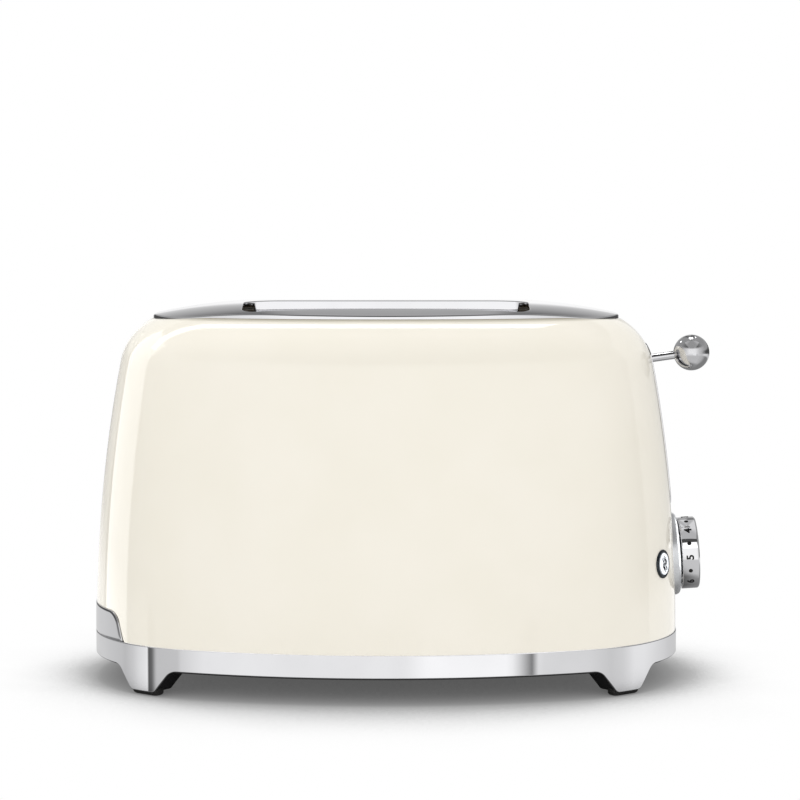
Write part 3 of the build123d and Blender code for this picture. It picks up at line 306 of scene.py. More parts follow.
def unit(vectors):
    """Vectors scaled to length one, with zero vectors left as they are."""
    length = np.linalg.norm(vectors, axis=-1, keepdims=True)
    return vectors / np.where(length > NO_LENGTH, length, 1.0)


def slopes(grid, axis, closed):
    """Unit tangents along one axis: at each point that of the parabola through it and its neighbours."""
    grid = np.moveaxis(grid, axis, 0)
    steps = np.roll(grid, -1, axis=0) - grid
    after = np.linalg.norm(steps, axis=-1, keepdims=True)
    before = np.roll(after, 1, axis=0)
    chord = unit(steps)
    chord_before = np.roll(chord, 1, axis=0)
    total = np.where(after + before > NO_LENGTH, after + before, 1.0)
    tangent = (chord_before * after + chord * before) / total
    if not closed:
        tangent[0] = 2 * chord[0] - tangent[1]
        tangent[-1] = 2 * chord[-2] - tangent[-2]
    return np.moveaxis(unit(tangent), 0, axis)


def grid_normals(grid, closed=True):
    """Outward normals of a grid: the slope along the columns crossed with the slope along the rows."""
    normals = unit(np.cross(slopes(grid, 1, closed), slopes(grid, 0, False)))
    for edge, beside in ((0, 1), (-1, -2)):
        if np.ptp(grid[edge], axis=0).max() < ONE_POLE:
            normals[edge] = unit(normals[beside].mean(axis=0))
    return normals


def grid_faces(grid, closed=True, normals=None, keep=None):
    """Four corner points and four corner normals for each face between the rows and columns of a grid."""
    if normals is None:
        normals = grid_normals(grid, closed)
    fields = []
    for field in (grid, normals):
        if closed:
            field = np.concatenate([field, field[:, :1]], axis=1)
        corners = np.stack([field[:-1, :-1], field[:-1, 1:], field[1:, 1:], field[1:, :-1]], axis=2)
        fields.append(corners.reshape(-1, 4, 3) if keep is None else corners[keep])
    return fields


def flat_faces(corners):
    """Separate four-cornered faces, each with its own flat normal."""
    normal = unit(np.cross(corners[:, 1] - corners[:, 0], corners[:, 2] - corners[:, 0]))
    return [corners, np.repeat(normal[:, None], 4, axis=1)]


def set_out(name, data):
    """Puts a new object with its data into the scene."""
    obj = bpy.data.objects.new(name, data)
    bpy.context.scene.collection.objects.link(obj)
    return obj


def settle(obj, finish, body, nodes):
    """Gives a finished piece its material, its body and the solids that it stands for."""
    obj.data.materials.clear()
    obj.data.materials.append(finish)
    if body:
        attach(obj, body)
    if nodes:
        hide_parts(*nodes)
    return obj


def piece(name, faces, slot, body, *nodes, finish=None):
    """Welds the faces of several grids into one smooth mesh, drops repeated corners, and settles it."""
    points = np.concatenate([group[0] for group in faces]).reshape(-1, 3)
    normals = np.concatenate([group[1] for group in faces])
    keys = np.round(points / WELD).astype(np.int64)
    _, first, place = np.unique(keys, axis=0, return_index=True, return_inverse=True)
    corners = place.reshape(-1, 4)
    keep = corners != np.roll(corners, -1, axis=1)
    whole = keep.sum(axis=1) > 2
    corners, keep, normals = corners[whole], keep[whole], normals[whole]
    counts = keep.sum(axis=1)
    mesh = bpy.data.meshes.new(name)
    mesh.vertices.add(len(first))
    mesh.vertices.foreach_set("co", (points[first] * MM).ravel())
    mesh.loops.add(int(counts.sum()))
    mesh.loops.foreach_set("vertex_index", corners[keep].astype(np.int32))
    mesh.polygons.add(len(counts))
    mesh.polygons.foreach_set("loop_start", (np.cumsum(counts) - counts).astype(np.int32))
    mesh.polygons.foreach_set("use_smooth", np.ones(len(counts), bool))
    mesh.update(calc_edges=True)
    mesh.normals_split_custom_set(normals[keep])
    return settle(set_out(name, mesh), finish or finishes[slot], body, nodes)


def edge_rows(row, along, normals, wall, roll):
    """Rows round the edge of a sheet: a quarter round, the flat edge and a second quarter round."""
    turn = np.linspace(0, np.pi / 2, EDGE_STEPS)[:, None, None]
    near = row + roll * (np.sin(turn) * along + (np.cos(turn) - 1) * normals)
    far = row - wall * normals + roll * (np.sin(turn) * along + (1 - np.cos(turn)) * normals)
    return np.concatenate([near, far[::-1]])


def sheet_rows(outer, wall, roll):
    """Closed wall from its outer grid: the inner face lies a wall behind it and both edges are rounded."""
    normals = grid_normals(outer)
    along = slopes(outer, 0, False)
    inner = outer - wall * normals
    top = edge_rows(outer[-1], along[-1], normals[-1], wall, roll)
    low = edge_rows(outer[0], -along[0], normals[0], wall, roll)[::-1]
    return np.concatenate([outer[:-1], top, inner[-2:0:-1], low])


def disc_rows(outer, wall, roll):
    """Closed plate from its outer grid, which runs from the rim to the middle."""
    normals = grid_normals(outer)
    along = slopes(outer, 0, False)
    inner = outer - wall * normals
    rim = edge_rows(outer[0], -along[0], normals[0], wall, roll)[::-1]
    return np.concatenate([inner[:0:-1], rim, outer[1:]])


def rounded(corners, radii, steps=6):
    """Outline through corner points, each corner turned into an arc of its radius, in even steps."""
    corners = np.array(corners, float)
    before = unit(np.roll(corners, 1, axis=0) - corners)
    after = unit(np.roll(corners, -1, axis=0) - corners)
    rows = []
    for corner, back, ahead, radius in zip(corners, before, after, radii):
        half = math.acos(np.clip(back @ ahead, -1, 1)) / 2
        if radius == 0:
            rows.append(corner[None])
            continue
        centre = corner + unit(back + ahead) * radius / math.sin(half)
        start = corner + back * radius / math.tan(half) - centre
        end = corner + ahead * radius / math.tan(half) - centre
        share = np.linspace(0, 1, steps)[:, None]
        turn = math.pi - 2 * half
        arm = np.sin((1 - share) * turn) * start + np.sin(share * turn) * end
        rows.append(centre + arm / math.sin(turn))
    return np.concatenate(rows)


def axes_about(axis):
    """Two directions that stand square on an axis and on each other: across (level) and up."""
    axis = unit(np.array(axis, float))
    across = unit(np.cross((0, 0, 1), axis))
    return axis, across, np.cross(axis, across)


def lathe(profile, origin, axis, columns=96):
    """Profile of (radius, station) pairs carried round an axis: origin + station * axis + radius * arm."""
    axis, across, up = axes_about(axis)
    turn = np.arange(columns) * 2 * np.pi / columns
    arm = np.cos(turn)[:, None] * across + np.sin(turn)[:, None] * up
    profile = np.array(profile, float)
    return np.array(origin) + profile[:, None, 1:] * axis + profile[:, None, :1] * arm


def closed_lathe(profile, origin, axis, columns=96):
    """Turned piece from a closed profile of corners: radius, station and how far each is rounded."""
    profile = np.array(profile)
    outline = rounded(profile[:, :2], profile[:, 2])
    return grid_faces(lathe(np.concatenate([outline, outline[:1]]), origin, axis, columns))


# Plan and profile of the body

def corner_arc(length, depth, offset, front, end):
    """Corner arc that touches the front and end arcs from inside: radius, centre x, start and stop angle.

    The centre lies an offset from the middle plane. Both touching rules give one quadratic for the radius.
    """
    run = length - end
    rise = front - depth + offset
    begin = (front**2 - end**2 + run**2 - rise**2 + offset**2) / (2 * run)
    slope = (end - front) / run
    square = slope**2 - 1
    linear = begin * slope + front
    constant = begin**2 + rise**2 - front**2
    radius = (np.sqrt(linear**2 - square * constant) - linear) / square
    centre = np.sqrt((front - radius) ** 2 - rise**2)
    return radius, centre, np.arctan2(centre, rise), np.arctan2(centre - run, offset)


def plan_points(turn, length, depth, offset, front, end):
    """Plan of eight arcs by the angle of its normal, from straight ahead towards the lever end.

    Front arc (F sin, F - b - F cos), corner arc (x + r sin, y - r cos), end arc (a - E + E sin, -E cos).
    """
    radius, centre, start, stop = corner_arc(length, depth, offset, front, end)
    side = np.abs(np.sin(turn))
    ahead = np.abs(np.cos(turn))
    fold = np.arctan2(side, ahead)
    on_front = fold < start
    on_end = fold > stop
    past_front_x = np.where(on_end, length - end + end * side, centre + radius * side)
    past_front_y = np.where(on_end, -end * ahead, -offset - radius * ahead)
    x = np.where(on_front, front * side, past_front_x)
    y = np.where(on_front, front - depth - front * ahead, past_front_y)
    return np.sign(np.sin(turn)) * x, np.sign(np.cos(turn)) * y


def body_sizes(level, draw=0.0, inset=0.0):
    """Half length, half depth, corner offset and the front and end radii of the body at a level."""
    rise = level - BAND_TOP
    length = HALF_LENGTH - rise**2 / (2 * END_BOW) - draw
    depth = HALF_DEPTH - rise**2 / (2 * FRONT_BOW) - draw
    return length - inset, depth - inset, CORNER_SHARE * depth, FRONT_RADIUS - inset, END_RADIUS - inset


def body_points(turn, level, draw=0.0, inset=0.0):
    """Points of the body's surface at normal angles and levels."""
    x, y = plan_points(turn, *body_sizes(level, draw, inset))
    return np.stack(np.broadcast_arrays(x, y, level), axis=-1)


def end_distance(y, level, inset):
    """How far out the body's end lies at a place on it: end arc in the middle, corner arc beside it."""
    length, depth, offset, front, end = body_sizes(level, 0.0, inset)
    radius, centre, _, stop = corner_arc(length, depth, offset, front, end)
    side = np.abs(y)
    on_end = side < end * np.cos(stop)
    straight = length - end + np.sqrt(end**2 - side**2)
    return np.where(on_end, straight, centre + np.sqrt(radius**2 - np.clip(side - offset, 0, radius) ** 2))


def outline_distance(x, y, length, depth, offset, front, end):
    """Signed distance of points to the eight-arc plan, negative inside."""
    radius, centre, start, stop = corner_arc(length, depth, offset, front, end)
    x, y = np.abs(x), -np.abs(y)
    turn = np.arctan2(x - centre, -offset - y)
    to_front = np.hypot(x, y - front + depth) - front
    to_end = np.hypot(x - length + end, y) - end
    to_corner = np.hypot(x - centre, y + offset) - radius
    return np.where(turn < start, to_front, np.where(turn > stop, to_end, to_corner))


def crown_distance(x, y):
    """Signed distance to the crown's outline in plan."""
    offset = CROWN_CORNER_SHARE * CROWN_HALF_DEPTH
    sizes = (CROWN_HALF_LENGTH, CROWN_HALF_DEPTH, offset, CROWN_FRONT_RADIUS, CROWN_END_RADIUS)
    return outline_distance(x, y, *sizes)


def halve(test, low, high, rounds=40):
    """Place where a falling test turns from positive to negative, found by halving the span."""
    for _ in range(rounds):
        middle = (low + high) / 2
        above = test(middle) > 0
        low = np.where(above, middle, low)
        high = np.where(above, high, middle)
    return (low + high) / 2


corner_start, corner_stop = corner_arc(*body_sizes(BAND_TOP))[2:]


def plan_turns(stops, steps):
    """Normal angles round the whole plan: even steps between the stops of a quarter, mirrored twice."""
    spans = zip(stops, stops[1:], steps)
    quarter = [np.linspace(start, stop, count, endpoint=False) for start, stop, count in spans]
    quarter = np.concatenate([*quarter, stops[-1:]])
    half = np.concatenate([quarter, np.pi - quarter[-2::-1]])
    return np.concatenate([half, -half[-2:0:-1]])


# Finishes

# Kinds of node. Inputs 1 to 4 of a range are its old and new ends, and inputs 6 and 7 of a mix its colours.
RAMP = "ShaderNodeValToRGB"
NOISE = "ShaderNodeTexNoise"
CELLS = "ShaderNodeTexVoronoi"
RANGE = "ShaderNodeMapRange"
BUMP = "ShaderNodeBump"
MATHS = "ShaderNodeMath"
MIX = "ShaderNodeMix"
BACKGROUND = "ShaderNodeBackground"
EITHER = "ShaderNodeMixShader"


def linear(color):
    """Linear colour from an sRGB hex value."""
    value = np.array([int(color[place:place + 2], 16) for place in (0, 2, 4)]) / 255
    value = np.where(value <= 0.04045, value / 12.92, ((value + 0.055) / 1.055) ** 2.4)
    return (*value, 1.0)


def shades(low, high, start=0.35, stop=0.65):
    """Two stops of a ramp, from sRGB hex values."""
    return [(start, linear(low)), (stop, linear(high))]


def greys(stops, full=1.0):
    """Stops of a ramp from pairs of a place and a brightness, as a share of full brightness."""
    return [(place, (value / full, value / full, value / full, 1.0)) for place, value in stops]


def per_mm(size):
    """Texture scale that gives a pattern of a real size in millimetres."""
    return 1 / (size * MM)


def add_node(tree, kind, inputs=None, stops=(), to=None, **settings):
    """Adds a node with its settings, its inputs as links or values, its ramp and a link from its output."""
    node = tree.nodes.new(kind)
    for name, value in settings.items():
        setattr(node, name, value)
    for name, value in (inputs or {}).items():
        if isinstance(value, bpy.types.NodeSocket):
            tree.links.new(value, node.inputs[name])
        else:
            node.inputs[name].default_value = value
    for place, _ in stops[1:-1]:
        node.color_ramp.elements.new(place)
    for number, (place, color) in enumerate(stops):
        node.color_ramp.elements[number].position = place
        node.color_ramp.elements[number].color = color
    if to:
        tree.links.new(node.outputs[0], to)
    return node


def new_finish(name, **values):
    """Material with constants set on its shader: its tree, its shader's inputs and object coordinates."""
    material = bpy.data.materials.new(name)
    material.use_nodes = True
    tree = material.node_tree
    sockets = tree.nodes["Principled BSDF"].inputs
    for socket, value in values.items():
        sockets[socket].default_value = value
    place = tree.nodes.new("ShaderNodeTexCoord").outputs["Object"]
    return material, tree, sockets, place


def vitreous_enamel():
    """Fired gloss enamel on pressed steel: even cream, a clear wet gloss and a faint orange peel.

    Along the top edge under the crown the cream is darkened to tan: painted shade of the gap under the
    crown.
    """
    material, tree, sockets, place = new_finish("vitreous_enamel_cream", Roughness=0.07, IOR=1.5)
    cloud = add_node(tree, NOISE, {"Vector": place, "Scale": per_mm(45.0)})
    coat = add_node(tree, RAMP, {0: cloud.outputs[0]}, shades("EFEADD", "F1ECE0")).outputs[0]
    # Painted shade: towards the shell's top edge the cream is mixed to a darker tan, in place of the shade
    # under the crown
    height = add_node(tree, "ShaderNodeSeparateXYZ", {0: place}).outputs["Z"]
    rim = shell_high[2]
    crown_shade = add_node(tree, RANGE, {0: height, 1: (rim - CROWN_SHADE_BAND) * MM, 2: rim * MM}).outputs[0]
    edge = add_node(tree, MIX, {0: crown_shade, 6: coat, 7: linear("9E9784")}, data_type="RGBA").outputs[2]
    tree.links.new(edge, sockets["Base Color"])
    peel = add_node(tree, NOISE, {"Vector": place, "Scale": per_mm(3.5), "Detail": 1.0})
    add_node(tree, BUMP, {"Height": peel.outputs[0], "Distance": 0.004 * MM}, to=sockets["Normal"])
    return material


def polished_chrome():
    """Bright chrome plate on a polished sheet: mirror-like, with faint wiping marks in its gloss."""
    material, tree, sockets, place = new_finish("polished_chrome_plate", Metallic=1.0)
    cloud = add_node(tree, NOISE, {"Vector": place, "Scale": per_mm(30.0)})
    add_node(tree, RAMP, {0: cloud.outputs[0]}, shades("E6E6E8", "EAEAEC"), sockets["Base Color"])
    smear = add_node(tree, NOISE, {"Vector": place, "Scale": per_mm(18.0), "Detail": 4.0})
    add_node(tree, RANGE, {0: smear.outputs[0], 3: 0.015, 4: 0.05}, to=sockets["Roughness"])
    return material


def buffed_chrome():
    """Chrome on a buffed turned piece: the same metal with a soft haze over its reflections."""
    material, tree, sockets, place = new_finish("buffed_chrome_plate", Metallic=1.0)
    cloud = add_node(tree, NOISE, {"Vector": place, "Scale": per_mm(12.0)})
    add_node(tree, RAMP, {0: cloud.outputs[0]}, shades("D6D6D8", "DEDEE0"), sockets["Base Color"])
    haze = add_node(tree, NOISE, {"Vector": place, "Scale": per_mm(6.0), "Detail": 4.0})
    add_node(tree, RANGE, {0: haze.outputs[0], 3: 0.10, 4: 0.15}, to=sockets["Roughness"])
    return material


def satin_silver():
    """Satin silver lacquer on moulded rings and buttons: pale metal with a soft sheen and fine speckle."""
    material, tree, sockets, place = new_finish("satin_silver_lacquer", Metallic=0.8, Roughness=0.32)
    speckle = add_node(tree, NOISE, {"Vector": place, "Scale": per_mm(0.9), "Detail": 3.0})
    add_node(tree, RAMP, {0: speckle.outputs[0]}, shades("DADCDF", "E6E8EA"), sockets["Base Color"])
    add_node(tree, BUMP, {"Height": speckle.outputs[0], "Distance": 0.01 * MM}, to=sockets["Normal"])
    return material


def pearl_lacquer():
    """Pearl lacquer on a moulded button: nearly white, with a cool sheen and fine flake."""
    material, tree, sockets, place = new_finish("pearl_lacquer_pale", Metallic=0.25, Roughness=0.35)
    flake = add_node(tree, NOISE, {"Vector": place, "Scale": per_mm(0.7), "Detail": 3.0})
    add_node(tree, RAMP, {0: flake.outputs[0]}, shades("DDE3EA", "E8EDF2"), sockets["Base Color"])
    add_node(tree, BUMP, {"Height": flake.outputs[0], "Distance": 0.008 * MM}, to=sockets["Normal"])
    return material


def gloss_moulding():
    """Blue-black gloss moulding: deep colour, clear highlights and a little mould texture."""
    material, tree, sockets, place = new_finish("gloss_moulding_blue_black", Roughness=0.18, IOR=1.5)
    cloud = add_node(tree, NOISE, {"Vector": place, "Scale": per_mm(4.0)})
    add_node(tree, RAMP, {0: cloud.outputs[0]}, shades("10171D", "18232B"), sockets["Base Color"])
    grain = add_node(tree, NOISE, {"Vector": place, "Scale": per_mm(0.8)})
    add_node(tree, BUMP, {"Height": grain.outputs[0], "Distance": 0.006 * MM}, to=sockets["Normal"])
    return material


def moulded_black():
    """Moulded black plastic with spark-eroded grain: dull and slightly mottled, coarse enough to show."""
    material, tree, sockets, place = new_finish("moulded_plastic_black", IOR=1.46)
    grain = add_node(tree, NOISE, {"Vector": place, "Scale": per_mm(0.9), "Detail": 3.0})
    add_node(tree, RAMP, {0: grain.outputs[0]}, shades("0E0E0F", "19191B"), sockets["Base Color"])
    add_node(tree, RANGE, {0: grain.outputs[0], 3: 0.42, 4: 0.62}, to=sockets["Roughness"])
    add_node(tree, BUMP, {"Height": grain.outputs[0], "Distance": 0.03 * MM}, to=sockets["Normal"])
    return material


def pad_rubber():
    """Soft moulded rubber: matt, almost black, with dust in its fine pores."""
    material, tree, sockets, place = new_finish("moulded_rubber_black", Roughness=0.88)
    pores = add_node(tree, NOISE, {"Vector": place, "Scale": per_mm(0.7), "Detail": 4.0})
    add_node(tree, RAMP, {0: pores.outputs[0]}, shades("141414", "292827"), sockets["Base Color"])
    add_node(tree, BUMP, {"Height": pores.outputs[0], "Distance": 0.04 * MM}, to=sockets["Normal"])
    return material


def zinc_plate():
    """Zinc plated sheet steel: cool grey metal with large flat spangles of differing sheen."""
    material, tree, sockets, place = new_finish("zinc_plated_sheet", Metallic=1.0)
    spangle = add_node(tree, CELLS, {"Vector": place, "Scale": per_mm(9.0)}).outputs["Color"]
    add_node(tree, RAMP, {0: spangle}, shades("A9ADB2", "C6C9CC", 0.2, 0.8), sockets["Base Color"])
    add_node(tree, RANGE, {0: spangle, 3: 0.28, 4: 0.45}, to=sockets["Roughness"])
    return material


def drawn_wire():
    """Drawn steel wire: bright metal, dulled in small patches and tinted straw by the heat."""
    material, tree, sockets, place = new_finish("drawn_steel_wire", Metallic=1.0)
    heat = add_node(tree, NOISE, {"Vector": place, "Scale": per_mm(28.0)})
    add_node(tree, RAMP, {0: heat.outputs[0]}, shades("B9B4A8", "CDCDCB"), sockets["Base Color"])
    patch = add_node(tree, NOISE, {"Vector": place, "Scale": per_mm(1.2), "Detail": 3.0})
    add_node(tree, RANGE, {0: patch.outputs[0], 3: 0.2, 4: 0.38}, to=sockets["Roughness"])
    return material


def pressed_mica():
    """Pressed mica board: tan sheet of glinting flakes a few millimetres across."""
    material, tree, sockets, place = new_finish("pressed_mica_board")
    flake = add_node(tree, CELLS, {"Vector": place, "Scale": per_mm(3.0)}).outputs["Color"]
    add_node(tree, RAMP, {0: flake}, shades("8F7F65", "BBAE93", 0.1, 0.9), sockets["Base Color"])
    add_node(tree, RANGE, {0: flake, 3: 0.3, 4: 0.55}, to=sockets["Roughness"])
    add_node(tree, BUMP, {"Height": flake, "Distance": 0.02 * MM}, to=sockets["Normal"])
    return material


def resistance_ribbon():
    """Oxidised resistance ribbon: dull grey-brown metal with darker scale."""
    material, tree, sockets, place = new_finish("oxidised_resistance_ribbon", Metallic=0.9)
    scale = add_node(tree, NOISE, {"Vector": place, "Scale": per_mm(3.0), "Detail": 4.0})
    add_node(tree, RAMP, {0: scale.outputs[0]}, shades("6B625B", "94897F"), sockets["Base Color"])
    add_node(tree, RANGE, {0: scale.outputs[0], 3: 0.4, 4: 0.6}, to=sockets["Roughness"])
    return material


def copper_wire():
    """Lacquered copper wire in layers: soft bands of lighter copper about 5 mm apart are painted highlights
    on its turns.

    A wave pattern turns through 20 radians in a unit of its scale, and here through one in 0.8 mm.
    """
    material, tree, sockets, place = new_finish("lacquered_copper_wire", Metallic=1.0, Roughness=0.25)
    inputs = {"Vector": place, "Scale": per_mm(0.8) / 20}
    turns = add_node(tree, "ShaderNodeTexWave", inputs, bands_direction="Z")
    # Painted highlight: the wave mixes darker and lighter copper in bands across the turns
    add_node(tree, RAMP, {0: turns.outputs[0]}, shades("8A4A26", "C9844F"), sockets["Base Color"])
    add_node(tree, BUMP, {"Height": turns.outputs[0], "Distance": 0.1 * MM}, to=sockets["Normal"])
    return material


def solder_mask():
    """Green solder mask over copper tracks: gloss board, paler along tracks about 1.3 mm wide."""
    material, tree, sockets, place = new_finish("solder_mask_green", Roughness=0.35)
    inputs = {"Vector": place, "Scale": per_mm(6.0)}
    tracks = add_node(tree, CELLS, inputs, feature="DISTANCE_TO_EDGE").outputs[0]
    add_node(tree, RAMP, {0: tracks}, shades("2C6B40", "174D2B", 0.08, 0.14), sockets["Base Color"])
    add_node(tree, BUMP, {"Height": tracks, "Distance": 0.03 * MM}, to=sockets["Normal"])
    return material


def filled_plastic():
    """Mineral-filled white plastic: chalky, faintly speckled, with a low sheen."""
    material, tree, sockets, place = new_finish("mineral_filled_plastic_white", Roughness=0.5)
    speckle = add_node(tree, NOISE, {"Vector": place, "Scale": per_mm(1.0), "Detail": 3.0})
    add_node(tree, RAMP, {0: speckle.outputs[0]}, shades("D4D3CE", "E6E5E0"), sockets["Base Color"])
    add_node(tree, BUMP, {"Height": speckle.outputs[0], "Distance": 0.01 * MM}, to=sockets["Normal"])
    return material


def printed_ink():
    """Screen-printed black ink: flat and slightly uneven, a little duller than the metal under it."""
    material, tree, sockets, place = new_finish("screen_printed_ink", Roughness=0.5)
    film = add_node(tree, NOISE, {"Vector": place, "Scale": per_mm(0.6), "Detail": 3.0})
    add_node(tree, RAMP, {0: film.outputs[0]}, shades("060607", "101012"), sockets["Base Color"])
    return material


finishes = {
    "cream_enamel": vitreous_enamel(),
    "polished_chrome": polished_chrome(),
    "satin_silver": satin_silver(),
    "dark_bezel": gloss_moulding(),
    "black_plastic": moulded_black(),
    "rubber_pad": pad_rubber(),
    "plated_steel": zinc_plate(),
    "steel_wire": drawn_wire(),
    "mica_board": pressed_mica(),
    "heating_ribbon": resistance_ribbon(),
    "copper_winding": copper_wire(),
    "circuit_board": solder_mask(),
    "white_plastic": filled_plastic(),
}
buffed = buffed_chrome()
pearl = pearl_lacquer()
ink = printed_ink()

for subpart in frame["record"]["subparts"]:
    surface = frame["nodes"][subpart["node"]].data
    surface.materials.clear()
    surface.materials.append(finishes[subpart["material_slot"]])


# Places of the dial, the lever and the side buttons

dial_origin = np.array([body_sizes(DIAL_LEVEL)[0], 0.0, DIAL_LEVEL])
dial_axis = np.array([math.cos(DIAL_TILT), 0.0, math.sin(DIAL_TILT)])
stem_origin = np.array([body_sizes(STEM_LEVEL)[0], 0.0, STEM_LEVEL])
stem_axis = np.array([math.cos(STEM_TILT), 0.0, math.sin(STEM_TILT)])


def button_place(side):
    """Middle of a side button on the body's surface, and the way it faces."""
    turn = BUTTON_TURN if side < 0 else math.pi - BUTTON_TURN
    lean = (BUTTON_LEVEL - BAND_TOP) / FRONT_BOW
    facing = np.array([math.sin(turn), -math.cos(turn), lean])
    return body_points(np.array(turn), np.array(BUTTON_LEVEL)), unit(facing)


button_places = {"front": button_place(-1), "rear": button_place(1)}


# Body shell

def panel_edge(y):
    """Level of the shell's lower edge over the crumb tray's front: slanted flank, round corner and top."""
    side = np.abs(y)
    top = PANEL_TOP + PANEL_CLEAR
    low_half = PANEL_LOW_HALF + PANEL_CLEAR
    run = PANEL_LOW_HALF - PANEL_TOP_HALF
    rise = PANEL_TOP - BAND_TOP
    slant = math.hypot(run, rise)
    flank = BAND_TOP + (low_half - side) * rise / run
    bend = math.atan2(rise, run)
    reach = PANEL_SWEEP * math.tan(bend / 2)
    corner = PANEL_TOP_HALF + PANEL_CLEAR
    past_top = np.clip(side - corner + reach, 0, PANEL_SWEEP * rise / slant)
    arc = top - PANEL_SWEEP + np.sqrt(PANEL_SWEEP**2 - past_top**2)
    below_top = np.where(side < corner + reach * run / slant, arc, flank)
    return np.maximum(np.where(side < corner - reach, top, below_top), BAND_TOP)


def hole_walls(outer, inner, hole):
    """Faces between the outer and inner grid along the border of the faces that a hole removes."""
    row, column = np.nonzero(hole != np.roll(hole, 1, axis=1))
    upright = [inner[row, column], outer[row, column], outer[row + 1, column], inner[row + 1, column]]
    beyond_upright = hole[row, column]
    row, column = np.nonzero(hole[1:] != hole[:-1])
    row = row + 1
    beside = (column + 1) % hole.shape[1]
    level = [inner[row, column], inner[row, beside], outer[row, beside], outer[row, column]]
    beyond_level = hole[row, column]
    walls = []
    for edge, gone in ((upright, beyond_upright), (level, beyond_level)):
        walls.append(np.stack([np.where(gone[:, None], b, a) for a, b in zip(edge, edge[::-1])], axis=1))
    return flat_faces(np.concatenate(walls))


def body_grid():
    """Outer face of the shell: leaning side rows up to the shoulder, then shoulder rows up to the crown."""
    turns = plan_turns([0, corner_start, corner_stop, np.pi / 2], BODY_COLUMNS)
    low_rows, top_rows, shoulder_rows = BODY_ROWS
    side = np.concatenate([
        np.linspace(BAND_TOP, CLOSE_ROWS_LOW, low_rows, endpoint=False),
        np.arange(CLOSE_ROWS_LOW, CLOSE_ROWS_TOP, CLOSE_ROW_STEP),
        np.linspace(CLOSE_ROWS_TOP, SHOULDER_LEVEL, top_rows),
    ])[:, None]
    base_x, base_y = plan_points(turns, *body_sizes(BAND_TOP))
    lowest = np.where(base_x < 0, panel_edge(base_y), BAND_TOP)
    share = np.clip((CLOSE_ROWS_LOW - side) / (CLOSE_ROWS_LOW - BAND_TOP), 0, 1)
    side_points = body_points(turns, side + (lowest - BAND_TOP) * share)

    def shoulder(turn):
        """Points of the shoulder arc, which draws in by R (1 - cos) and rises by R sin."""
        level = SHOULDER_LEVEL + SHOULDER_RADIUS * np.sin(turn)
        return body_points(turns, level, SHOULDER_RADIUS * (1 - np.cos(turn)))

    def outside_crown(turn):
        """How far the shoulder still lies outside the gap round the crown."""
        points = shoulder(turn)
        return crown_distance(points[:, 0], points[:, 1]) - CROWN_GAP - SHELL_EDGE

    highest = halve(outside_crown, np.zeros(len(turns)), np.full(len(turns), SHOULDER_LIMIT))
    turn = np.linspace(0, 1, shoulder_rows)[1:, None] * highest
    return np.concatenate([side_points, shoulder(turn)])


def body_holes(grid):
    """Faces to leave out of the shell behind the lever plate, the dial collar and the button bezels."""
    corners = np.concatenate([grid, grid[:, :1]], axis=1)
    middle = (corners[:-1, :-1] + corners[1:, 1:]) / 2
    x, y, z = np.moveaxis(middle, -1, 0)
    beside_slit = (x > 0) & (np.abs(y) < SLIT_HOLE_HALF)
    hole = beside_slit & (z > SLIT_LOW - SLIT_HOLE_EXTRA) & (z < SLIT_TOP + SLIT_HOLE_EXTRA)
    round_holes = [(*place, BEZEL_HOLE) for place in button_places.values()]
    for place, axis, radius in [(dial_origin, dial_axis, COLLAR_HOLE), *round_holes]:
        arm = middle - place
        along = arm @ axis
        away = np.linalg.norm(arm - along[..., None] * axis, axis=-1)
        hole |= (away < radius) & (np.abs(along) < HOLE_REACH)
    return hole


def body_shell():
    """Enamelled shell: its outer face, rolled edges, inner face and the walls of its holes."""
    outer = body_grid()
    rows = sheet_rows(outer, SHELL_WALL, SHELL_EDGE)
    count = len(outer) - 1
    hole = body_holes(outer)
    keep = np.ones((len(rows) - 1, rows.shape[1]), bool)
    keep[:count] = ~hole
    inner_start = count + 2 * EDGE_STEPS - 1
    keep[inner_start:inner_start + count] = ~hole[::-1]
    normals = grid_normals(outer)
    walls = hole_walls(outer, outer - SHELL_WALL * normals, hole)
    faces = [grid_faces(rows, keep=keep), walls]
    return piece("enamel_body", faces, "cream_enamel", "casing", "body_shell")


body_shell()


# Crown

def dome_level(x, y):
    """Height of the crown: arches of one shape along a crest that falls towards both ends.

    An arch is as wide as the front arc leaves room for, and its fall grows with its width.
    """
    along = np.clip(np.abs(x) - CROWN_FLAT_LENGTH, 0, None)
    end_fall = CROWN_END_BOW - np.sqrt(CROWN_END_BOW**2 - along**2)
    narrowing = CROWN_FRONT_RADIUS - np.sqrt(CROWN_FRONT_RADIUS**2 - x**2)
    scale = 1 - narrowing / CROWN_HALF_DEPTH
    across = np.clip(np.abs(y) / scale - CROWN_FLAT_DEPTH, 0, None)
    side_fall = scale * (CROWN_SIDE_BOW - np.sqrt(CROWN_SIDE_BOW**2 - across**2))
    return CROWN_TOP - end_fall - side_fall


def dome_normals(x, y, step=0.02):
    """Normals of the crown's dome from its slopes, each taken over a short step to both sides."""
    slope_x = (dome_level(x + step, y) - dome_level(x - step, y)) / (2 * step)
    slope_y = (dome_level(x, y + step) - dome_level(x, y - step)) / (2 * step)
    return unit(np.stack([-slope_x, -slope_y, np.ones_like(slope_x)], axis=-1))


def slot_distance(x, y):
    """Signed distance to a bread slot's outline, and the way out of it, about the slot's middle."""
    over_x = np.abs(x) - SLOT_HALF_LENGTH + SLOT_CORNER
    over_y = np.abs(y) - SLOT_HALF_WIDTH + SLOT_CORNER
    past = np.stack([np.clip(over_x, 0, None), np.clip(over_y, 0, None)], axis=-1)
    distance = np.linalg.norm(past, axis=-1) + np.minimum(np.maximum(over_x, over_y), 0) - SLOT_CORNER
    return distance, unit(past * np.stack([np.sign(x), np.sign(y)], axis=-1))


